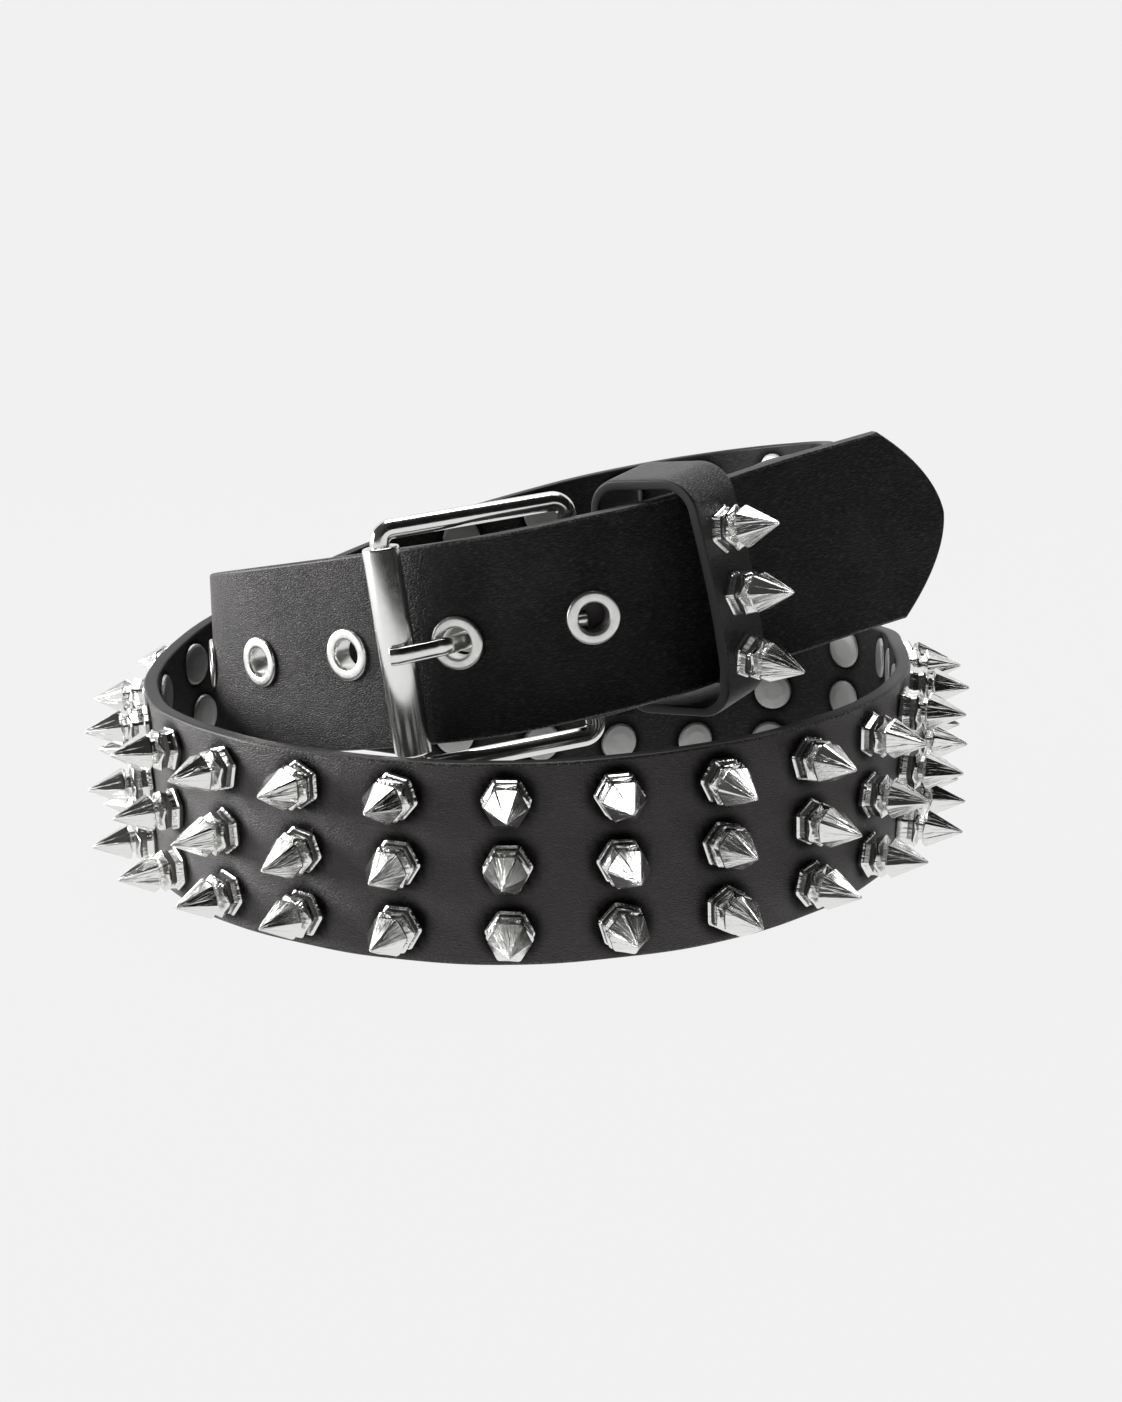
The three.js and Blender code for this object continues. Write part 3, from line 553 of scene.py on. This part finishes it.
def hexagon(radius, height, rise):
    """Eighteen points round a hexagon with that corner radius: two beside each corner, on its sides,
    and the middle of each side. The corners stand higher by the rise."""
    corner = np.arange(STUD_SIDES) * 360 / STUD_SIDES
    half_side = 180 / STUD_SIDES
    angles = np.stack([corner - CORNER_SHARE, corner + CORNER_SHARE, corner + half_side], axis=1).ravel()
    off_middle = np.tile([half_side - CORNER_SHARE, half_side - CORNER_SHARE, 0.0], STUD_SIDES)
    reach = radius * np.cos(np.radians(half_side)) / np.cos(np.radians(off_middle))
    turn = np.radians(angles)
    return np.stack([reach * np.cos(turn), reach * np.sin(turn), height + rise * (off_middle > 0)], axis=1)


def circle(radius, height, rise):
    """Twenty-four points round a circle."""
    turn = 2 * np.pi * np.arange(24) / 24
    return np.stack([radius * np.cos(turn), radius * np.sin(turn), np.full(24, height + rise)], axis=1)


def turned(profile, outline):
    """Rings of the outline at each row of the profile, about the z axis, closed by a point on the
    axis at both ends. Returns points and faces."""
    points = np.concatenate([outline(*row) for row in profile])
    count = len(points) // len(profile)
    faces = quads(len(profile), count).tolist()
    bottom, top = len(points), len(points) + 1
    points = np.concatenate([points, [[0, 0, profile[0][1]], [0, 0, profile[-1][1]]]])
    last = (len(profile) - 1) * count
    for j in range(count):
        k = (j + 1) % count
        faces.append([bottom, k, j])
        faces.append([top, last + j, last + k])
    return points, faces


def chance(*seeds):
    """Repeatable scatter between -1 and 1 from whole numbers."""
    total = sum(a * b for a, b in zip(seeds, (12.9898, 78.233, 37.719)))
    value = np.sin(total) * 43758.5453
    return 2 * (value - np.floor(value)) - 1


def axes_about(normal, along, turn, lean_along, lean_up):
    """Right-handed axes with z near the normal, leaning by two small angles, and turned about z."""
    up = np.cross(along, normal)
    z = unit(normal + along * np.tan(lean_along) + up * np.tan(lean_up))
    x = unit(along - z * np.dot(along, z))
    y = np.cross(z, x)
    return np.stack([np.cos(turn) * x + np.sin(turn) * y, np.cos(turn) * y - np.sin(turn) * x, z])


def scattered(name, shape, places, rayed=False):
    """One mesh from copies of a shape. places lists the origin and axes of each copy. The position
    within the shape is kept for the material, shifted apart from copy to copy. Where it is rayed,
    its first two values are the direction from the axis, so that scratches run towards the tip."""
    points, faces = shape
    measure = points.copy()
    if rayed:
        reach = np.linalg.norm(points[:, :2], axis=1, keepdims=True)
        measure[:, :2] = RAY_RADIUS * points[:, :2] / np.maximum(reach, 0.1)
    made_points, made_faces, local = [], [], []
    for k, (origin, axes) in enumerate(places):
        made_points.append(origin + points @ axes)
        made_faces.extend([[i + k * len(points) for i in f] for f in faces])
        local.append(measure + [0, 0, COPY_SPACING * k])
    made = mesh_object(name, np.concatenate(made_points), made_faces, smooth=False)
    note_places(made, "piece_mm", np.concatenate(local))
    return made


stud_shape = turned(STUD_PROFILE, hexagon)
rivet_shape = turned(RIVET_PROFILE, circle)
stud_places, rivet_places = [], []
for c, s in enumerate(stud_columns):
    for r, v in enumerate(stud_rows):
        place, along, out, up = frames_at(route, s)
        turn = np.pi / 3 * abs(np.sin(12.9 * c + 78.2 * r))
        lean = np.radians(STUD_LEAN) * np.array([chance(c, r, 1), chance(c, r, 2)])
        base = place + v * up
        stud_base = base + (BELT_THICKNESS / 2 - STUD_SINK) * out
        rivet_base = base - (BELT_THICKNESS / 2 - RIVET_SINK) * out
        stud_places.append((stud_base, axes_about(out, along, turn, *lean)))
        rivet_places.append((rivet_base, axes_about(-out, along, turn, 0, 0)))
studs = scattered("strap_studs", stud_shape, stud_places, rayed=True)
rivets = scattered("rivet_heads", rivet_shape, rivet_places)


def metal_material(name, colour, roughness, streaks, depth, smudges):
    """Plated metal: bright, with fine scratches that run along the piece's axis and cloudy smudges in
    its gloss. streaks is the number of scratches in a millimetre, depth the strength of their relief."""
    made, tree, shader = new_material(name)
    place = node(tree, "ShaderNodeAttribute", {"attribute_name": "piece_mm"})
    stretched = node(tree, "ShaderNodeMapping", {"Scale": (streaks, streaks, 0.12)},
                     Vector=place.outputs["Vector"])
    lines = node(tree, "ShaderNodeTexNoise", {"Scale": 1.0, "Detail": 3.0}, Vector=stretched.outputs[0])
    smudge = node(tree, "ShaderNodeTexNoise", {"Scale": 0.6, "Detail": 3.0}, Vector=place.outputs["Vector"])
    bump = node(tree, "ShaderNodeBump", {"Strength": depth, "Distance": 0.0002}, Height=lines.outputs["Fac"])
    rough = node(tree, "ShaderNodeMapRange", {"From Min": 0.3, "From Max": 0.7, "To Min": roughness,
                                              "To Max": roughness + smudges}, Value=smudge.outputs["Fac"])
    shader.inputs["Base Color"].default_value = linear(colour)
    shader.inputs["Metallic"].default_value = 1.0
    tree.links.new(rough.outputs[0], shader.inputs["Roughness"])
    tree.links.new(bump.outputs["Normal"], shader.inputs["Normal"])
    return made


stud_chrome = metal_material("chromed_cast_studs", "#ececea", 0.12, 1.5, 0.9, 0.1)
rivet_steel = metal_material("plated_steel_rivets", "#a9a9a8", 0.42, 1.2, 0.1, 0.15)
studs.data.materials.append(stud_chrome)
rivets.data.materials.append(rivet_steel)
for piece, name in ((studs, "chrome"), (rivets, "nickel")):
    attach(piece, "root")
    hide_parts("strap")

# Eyelets
# Five two-part brass eyelets, nickel-plated: a rolled flange on the front and a barrel through the
# hole that is turned over into a lip behind.

# radius, distance from the middle of the leather
EYELET_PROFILE = (
    (5.15, 1.50),
    (5.15, 1.95),
    (5.06, 2.18),
    (4.90, 2.30),
    (4.50, 2.34),
    (3.55, 2.34),
    (3.22, 2.30),
    (3.03, 2.16),
    (2.93, 1.90),
    (2.90, 1.40),
    (2.90, -1.70),
    (3.05, -2.10),
    (3.40, -2.35),
    (3.90, -2.35),
    (4.18, -2.10),
    (4.20, -1.60),
    (3.45, -1.52),
    (3.35, -1.20),
    (3.35, 1.30),
    (3.60, 1.48),
)


def turned_loop(profile, sides):
    """Ring-shaped body: the closed profile of radius and height is carried round the z axis."""
    profile = np.array(profile)
    turn = 2 * np.pi * np.arange(sides) / sides
    x = profile[None, :, 0] * np.cos(turn)[:, None]
    y = profile[None, :, 0] * np.sin(turn)[:, None]
    z = np.broadcast_to(profile[None, :, 1], x.shape)
    points = np.stack([x, y, z], axis=-1).reshape(-1, 3)
    return points, quads(sides, len(profile), wrap_rows=True).tolist()


def outward(made):
    """Merges doubled points and turns every face outwards."""
    work = bmesh.new()
    work.from_mesh(made.data)
    bmesh.ops.remove_doubles(work, verts=work.verts, dist=1e-7)
    bmesh.ops.recalc_face_normals(work, faces=work.faces)
    work.to_mesh(made.data)
    work.free()
    made.data.update()


eyelet_places = []
for seat in eyelet_seats:
    place, along, out, up = frames_at(route, seat)
    eyelet_places.append((place, axes_about(out, along, 0.0, 0, 0)))
eyelets = scattered("eyelets", turned_loop(EYELET_PROFILE, 44), eyelet_places)
eyelets.data.polygons.foreach_set("use_smooth", np.ones(len(eyelets.data.polygons), dtype=bool))
nickel = metal_material("nickel_plated_eyelets", "#e4e4e1", 0.26, 1.0, 0.08, 0.1)
eyelets.data.materials.append(nickel)
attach(eyelets, "root")
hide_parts(*[f"eyelet_{k + 1}" for k in range(EYELETS)])

# Buckle frame
# Steel wire bent to a rounded rectangle, welded under the roller and chromed.

FRAME_WIRE = 3.8
FRAME_BARS = 35.8
FRAME_GAP = 2.1
FRAME_CORNER = 2.6
CLEARANCE = 0.3
ROLLER_DIAMETER = 7.0
ROLLER_LENGTH = 40.0


def frame_axes():
    """Directions across the frame from the heel bar to the outer bar, along the bars and out of
    the frame's front. The outer bar lies in front of the tip's strap, one roller's radius off."""
    place, along, out, up = frames_at(tip_route, OUTER_BAR_FROM_TIP)
    stand_off = BELT_THICKNESS / 2 + CLEARANCE + ROLLER_DIAMETER / 2
    stand_off = stand_off + BELT_WIDTH / 2 * abs(bar_direction @ out)
    across = place + stand_off * out - heel
    across = unit(across - bar_direction * (across @ bar_direction))
    return across, bar_direction, np.cross(bar_direction, across)


across, bars, front = frame_axes()


def on_frame(a, b, c):
    """Heel bar, plus a across the frame, b out of its plane and c along the bars."""
    a, b, c = np.broadcast_arrays(*[np.asarray(x, dtype=float) for x in (a, b, c)])
    return heel + a[..., None] * across + b[..., None] * front + c[..., None] * bars


def rounded_rectangle(low, high, half, radius, steps):
    """Points round a rectangle with quarter circles at its corners, anticlockwise."""
    centres = ((high - radius, half - radius, 0), (low + radius, half - radius, 90),
               (low + radius, radius - half, 180), (high - radius, radius - half, 270))
    turn = [np.radians(start + np.linspace(0, 90, steps + 1)) for _, _, start in centres]
    x = [a + radius * np.cos(t) for (a, _, _), t in zip(centres, turn)]
    y = [c + radius * np.sin(t) for (_, c, _), t in zip(centres, turn)]
    return np.concatenate(x), np.concatenate(y)


def carried(name, path, sections, upright, loop):
    """Section carried along a path: at each point it stands square to the path, its first measure
    along upright x direction and its second across both. sections is one ring or one for each."""
    if loop:
        along = unit(np.roll(path, -1, axis=0) - np.roll(path, 1, axis=0))
    else:
        along = unit(np.gradient(path, axis=0))
    side = unit(np.cross(np.broadcast_to(upright, along.shape), along))
    up = np.cross(along, side)
    sections = np.broadcast_to(sections, (len(path),) + np.shape(sections)[-2:])
    points = path[:, None] + sections[..., :1] * side[:, None] + sections[..., 1:] * up[:, None]
    columns = sections.shape[1]
    faces = quads(len(path), columns, wrap_rows=loop).tolist()
    if not loop:
        faces.append(list(range(columns))[::-1])
        faces.append([(len(path) - 1) * columns + j for j in range(columns)])
    made = mesh_object(name, points.reshape(-1, 3), faces)
    run = np.concatenate([[0.0], np.cumsum(np.linalg.norm(np.diff(path, axis=0), axis=1))])
    run = np.broadcast_to(run[:, None], sections.shape[:2])
    note_places(made, "piece_mm", np.stack([sections[..., 0], sections[..., 1], run], axis=-1).reshape(-1, 3))
    return made


def ellipse(width, height, sides, power=2.0):
    """Ring |x/a|^p + |y/b|^p = 1, anticlockwise: an ellipse at p = 2 and squarer above that."""
    turn = 2 * np.pi * (np.arange(sides) + 0.5) / sides
    c, s = np.cos(turn), np.sin(turn)
    x = width / 2 * np.sign(c) * np.abs(c) ** (2 / power)
    y = height / 2 * np.sign(s) * np.abs(s) ** (2 / power)
    return np.stack([x, y], axis=1)


rail = BELT_WIDTH / 2 + FRAME_GAP + FRAME_WIRE / 2
a, c = rounded_rectangle(0.0, FRAME_BARS, rail, FRAME_CORNER, 10)
buckle_frame = carried("frame_wire", on_frame(a, 0, c), ellipse(FRAME_WIRE, FRAME_WIRE, 24), front, True)
buckle_chrome = metal_material("chromed_steel_buckle", "#e6e6e4", 0.12, 0.8, 0.05, 0.08)
buckle_frame.data.materials.append(buckle_chrome)
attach(buckle_frame, "root")
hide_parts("buckle_frame")

# Roller
# A chromed steel tube that turns on the frame's outer bar, its ends slightly rolled in.

bore = FRAME_WIRE / 2 + CLEARANCE
outside = ROLLER_DIAMETER / 2
end = ROLLER_LENGTH / 2
roller_profile = [(bore, -end), (outside - 0.35, -end), (outside - 0.1, -end + 0.12), (outside, -end + 0.45),
                  (outside, end - 0.45), (outside - 0.1, end - 0.12), (outside - 0.35, end), (bore, end)]
roller_axes = np.stack([across, np.cross(bars, across), bars])
roller_place = (on_frame(FRAME_BARS, 0, 0), roller_axes)
roller = scattered("roller_tube", turned_loop(roller_profile, 56), [roller_place])
roller.data.polygons.foreach_set("use_smooth", np.ones(len(roller.data.polygons), dtype=bool))
roller_steel = metal_material("polished_steel_roller", "#f0f0ee", 0.2, 0.8, 0.05, 0.05)
roller.data.materials.append(roller_steel)
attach(roller, "root")
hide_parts("buckle_roller")

# Prong
# Flattened chromed wire, curled round the heel bar. It runs behind the strap, comes up through the
# second eyelet and rests on the roller.

PRONG_WIDTH = 3.4
PRONG_THICKNESS = 2.0
PRONG_STEEP = 0.45
PRONG_SHIFT = 0.4
PRONG_LEAN = 2.0
PRONG_SQUARENESS = 2.6      # power of the section's outline
prong_seat = eyelet_seats[1] - PRONG_SHIFT
curl_radius = FRAME_WIRE / 2 + CLEARANCE + PRONG_THICKNESS / 2
behind = curl_radius - LAP_OFFSET
crest = ROLLER_DIAMETER / 2 + CLEARANCE + PRONG_THICKNESS / 2


def smooth_path(points, count):
    """Centripetal Catmull-Rom curve through the points: between two of them it blends the four
    straight lines around, by knots spaced with the square root of the distances."""
    points = np.concatenate([[2 * points[0] - points[1]], points, [2 * points[-1] - points[-2]]])
    knots = np.concatenate([[0], np.cumsum(np.sqrt(np.linalg.norm(np.diff(points, axis=0), axis=1)))])
    t = np.linspace(knots[1], knots[-2], count)
    i = np.clip(np.searchsorted(knots, t, side="right") - 1, 1, len(points) - 3)
    p = [points[i + k] for k in (-1, 0, 1, 2)]
    u = [knots[i + k][:, None] for k in (-1, 0, 1, 2)]
    t = t[:, None]

    def line(a, b, pa, pb):
        return ((b - t) * pa + (t - a) * pb) / (b - a)

    first, second, third = (line(u[k], u[k + 1], p[k], p[k + 1]) for k in range(3))
    return line(u[1], u[2], line(u[0], u[2], first, second), line(u[1], u[3], second, third))


turn = np.radians(np.linspace(350, 90, 27)[:-1])
curl = on_frame(curl_radius * np.cos(turn), curl_radius * np.sin(turn), 0)
seat_n = ((-7.0, behind), (-3 * PRONG_STEEP, behind + 0.4), (-PRONG_STEEP, -1.5), (0.0, 0.0),
          (PRONG_STEEP, 0.75), (PRONG_LEAN, 4.35))
run = [on_frame(0, curl_radius, 0), on_strap(route, HEEL_FROM_TIP + 8, -0.7 * LAP_DROP, behind)]
run += [on_strap(route, prong_seat + ds, 0, n) for ds, n in seat_n]
run += [on_frame(FRAME_BARS - ROLLER_DIAMETER, crest - 1, 0), on_frame(FRAME_BARS, crest, 0),
        on_frame(FRAME_BARS + 2, crest - 0.3, 0)]
prong_path = np.concatenate([curl, smooth_path(np.array(run), 110)])
prong_section = ellipse(PRONG_THICKNESS, PRONG_WIDTH, 24, PRONG_SQUARENESS)
prong = carried("prong_wire", prong_path, prong_section, bars, False)
prong.data.materials.append(buckle_chrome)
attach(prong, "root")
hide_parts("buckle_prong")

# Keeper
# A loop of glossy black leather, joined at the back and slid along the belt to hold its tip. It sits
# askew, with its left edge away from the strap, a soft arch at the top and a front that swells out.

KEEPER_WIDTH = 13.0
KEEPER_THICKNESS = 2.2
KEEPER_FROM_TIP = 54.5
KEEPER_SKEW = 25.0
KEEPER_FRONT = 6.674        # middle of the solid's walls, out of the middle of the tip's strap
KEEPER_BACK = -16.001
KEEPER_TOP = 21.391         # and above and below it
KEEPER_FOOT = -22.957
KEEPER_SQUARENESS = 9.0     # power of the section's outline
KEEPER_SIDE_SHARE = 0.46    # share of the width past which a face belongs to the cut edge
KEEPER_SWELL = 0.9          # how far the front wall swells out
SWELL_CREST = -3.0          # height of the crest, and of the swelling's ends above and below it
SWELL_REACH = 19.0
KEEPER_EASE = 0.4           # the front wall's room beyond the solid's
KEEPER_LIFT = 0.8           # how far the soft arch at the top stands off the strap

seat, along, out, up = frames_at(tip_route, KEEPER_FROM_TIP)
skew = np.radians(KEEPER_SKEW)
keeper_out = np.cos(skew) * out - np.sin(skew) * along
keeper_across = unit(np.cross(keeper_out, up))
# depth and height of the loop's four corners, their rounding, and where their arcs start in degrees
KEEPER_CORNERS = (
    (KEEPER_FRONT + KEEPER_EASE, KEEPER_TOP + KEEPER_LIFT, 5.8, 0),
    (KEEPER_BACK, KEEPER_TOP + KEEPER_LIFT, 6.0, 90),
    (KEEPER_BACK, KEEPER_FOOT, 3.5, 180),
    (KEEPER_FRONT + KEEPER_EASE, KEEPER_FOOT, 6.5, 270),
)


def swell(height):
    """How far the front wall stands out at a height: a cosine bow with its crest below the middle."""
    share = np.clip((height - SWELL_CREST) / SWELL_REACH, -1, 1)
    return KEEPER_SWELL * np.cos(np.pi / 2 * share)


def keeper_loop():
    """The loop's outline in depth and height: an arc at each corner, and the bow on the front wall."""
    depths, heights = [], []
    for corner_depth, corner_height, radius, start in KEEPER_CORNERS:
        turn = np.radians(start + np.linspace(0, 90, 11))
        depths.append(corner_depth - radius * np.sign(corner_depth) + radius * np.cos(turn))
        heights.append(corner_height - radius * np.sign(corner_height) + radius * np.sin(turn))
    wall = np.linspace(heights[-1][-1], heights[0][0], 14)[1:-1]
    depths.append(np.full(len(wall), KEEPER_CORNERS[0][0]) + swell(wall))
    heights.append(wall)
    return np.concatenate(depths), np.concatenate(heights)


depth, height = keeper_loop()
keeper_path = seat + depth[:, None] * keeper_out + height[:, None] * up
keeper_section = ellipse(KEEPER_THICKNESS, KEEPER_WIDTH, 40, KEEPER_SQUARENESS)
keeper = carried("keeper_leather", keeper_path, keeper_section, keeper_across, True)
places = np.zeros(len(keeper.data.vertices) * 3)
keeper.data.vertices.foreach_get("co", places)
# its grain runs sideways, then upwards, then in depth, as the strap's does
note_places(keeper, "strap_mm", places.reshape(-1, 3)[:, [0, 2, 1]] / MM)
side = np.abs(keeper_section[:, 1]) > KEEPER_SIDE_SHARE * KEEPER_WIDTH
side_faces = np.tile((side & np.roll(side, -1)).astype(np.int32), len(keeper_path))
keeper.data.polygons.foreach_set("material_index", side_faces)
keeper_leather = leather_material("black_glossy_leather", "#101010", "#101010", 0.34, 1.0, (0.55, 0.55))
keeper.data.materials.append(keeper_leather)
keeper.data.materials.append(leather_edge)
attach(keeper, "root")
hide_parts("keeper")

# Keeper studs
# Three of the same spikes on the keeper's front, from the top down. Each leans its own way, and the
# lowest droops.

KEEPER_LEANS = ((5.0, 0.2), (1.0, 0.9), (-14.0, 0.5))      # lean upwards in degrees, turn in radians
KEEPER_STUD_SINK = 0.2
keeper_face = KEEPER_CORNERS[0][0] + KEEPER_THICKNESS / 2 - KEEPER_STUD_SINK
keeper_places = []
for v, (lean, turn) in zip(stud_rows, KEEPER_LEANS):
    v = v + (KEEPER_TOP + KEEPER_FOOT) / 2
    base = seat + v * up + (keeper_face + swell(v)) * keeper_out
    keeper_places.append((base, axes_about(keeper_out, keeper_across, turn, 0.0, np.radians(lean))))
keeper_studs = scattered("keeper_spikes", stud_shape, keeper_places, rayed=True)
keeper_studs.data.materials.append(stud_chrome)
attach(keeper_studs, "root")
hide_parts("keeper_stud_1", "keeper_stud_2", "keeper_stud_3")

for piece in (strap, studs, rivets, eyelets, buckle_frame, roller, prong, keeper, keeper_studs):
    outward(piece)

# Studio
# A pale paper floor that curves up behind the belt and glows evenly, as paper does that is lit from
# all round. The room is bright on the left, dim on the right and overhead.

FLOOR_COLOUR = "#f2f2f2"
ROOM_TURN = (0.3, -0.5)     # sideways part of the direction in which the room turns from dim to bright
ROOM_DIM = 0.14
ROOM_BRIGHT = 1.0


def build_floor():
    """Floor and backdrop: straight, then a quarter circle, then upright, carried sideways."""
    turn = np.radians(np.linspace(0, 90, 25))
    y = np.concatenate([[-3.0], 1.6 + 0.8 * np.sin(turn), [2.4]])
    z = np.concatenate([[0.0], 0.8 - 0.8 * np.cos(turn), [4.0]])
    x = np.array([-4.0, 4.0])
    points = np.stack(np.broadcast_arrays(x[None, :], y[:, None], z[:, None]), axis=-1).reshape(-1, 3)
    mesh = bpy.data.meshes.new("studio_floor")
    mesh.from_pydata(points.tolist(), [], quads(len(y), 2, wrap_columns=False).tolist())
    mesh.polygons.foreach_set("use_smooth", np.ones(len(mesh.polygons), dtype=bool))
    made = bpy.data.objects.new("studio_floor", mesh)
    bpy.context.scene.collection.objects.link(made)
    return made


floor = build_floor()
pale, tree, shader = new_material("pale_paper")
grain = node(tree, "ShaderNodeTexNoise", {"Scale": 900.0, "Detail": 2.0})
paper = node(tree, "ShaderNodeBump", {"Strength": 0.05, "Distance": 0.0002}, Height=grain.outputs["Fac"])
tree.links.new(paper.outputs["Normal"], shader.inputs["Normal"])
shader.inputs["Base Color"].default_value = linear("#141414")
shader.inputs["Roughness"].default_value = 1.0
shader.inputs["Specular IOR Level"].default_value = 0.0
shader.inputs["Emission Color"].default_value = linear(FLOOR_COLOUR)
shader.inputs["Emission Strength"].default_value = 0.985
floor.data.materials.append(pale)

world = bpy.data.worlds.new("studio")
world.use_nodes = True
bpy.context.scene.world = world
tree = world.node_tree
direction = node(tree, "ShaderNodeTexCoord")
split = node(tree, "ShaderNodeSeparateXYZ", Vector=direction.outputs["Generated"])
left = node(tree, "ShaderNodeMapRange", {"interpolation_type": "SMOOTHSTEP", "From Min": ROOM_TURN[0],
                                         "From Max": ROOM_TURN[1], "To Min": ROOM_DIM, "To Max": ROOM_BRIGHT},
            Value=split.outputs["X"])
tree.links.new(left.outputs[0], tree.nodes["Background"].inputs["Strength"])


def soft_light(name, place, aim, width, height, power):
    """Rectangular light at a place, turned towards a point."""
    lamp = bpy.data.lights.new(name, "AREA")
    lamp.shape = "RECTANGLE"
    lamp.size, lamp.size_y, lamp.energy = width, height, power
    made = bpy.data.objects.new(name, lamp)
    made.location = place
    made.rotation_mode = "QUATERNION"
    made.rotation_quaternion = (Vector(aim) - Vector(place)).to_track_quat("-Z", "Y")
    bpy.context.scene.collection.objects.link(made)


soft_light("left_light", (-0.75, 0.05, 0.2), (0, 0, 0.06), 0.5, 0.3, 7.5)
soft_light("top_light", (0.0, 0.25, 0.9), (0, 0, 0.05), 0.7, 0.5, 7.0)

# Camera
# At the photo's angle: in front of the buckle, 13 degrees above it, with a slight roll.

AIM = (0.00521, -0.03255, 0.04004)
CAMERA_AWAY = 0.3963
CAMERA_RISE = 13.05
CAMERA_ROLL = -0.64
rise = np.radians(CAMERA_RISE)
lens = bpy.data.cameras.new("camera")
lens.sensor_width = 36.0
lens.lens = 51.74
lens.clip_start = 0.01
lens.clip_end = 20.0
camera = bpy.data.objects.new("camera", lens)
back = Vector((0.0, -np.cos(rise), np.sin(rise)))
camera.location = Vector(AIM) + back * CAMERA_AWAY
camera.rotation_mode = "QUATERNION"
camera.rotation_quaternion = (-back).to_track_quat("-Z", "Y") @ Quaternion((0, 0, 1), np.radians(CAMERA_ROLL))
bpy.context.scene.collection.objects.link(camera)
bpy.context.scene.camera = camera
bpy.context.scene.view_settings.view_transform = "Standard"
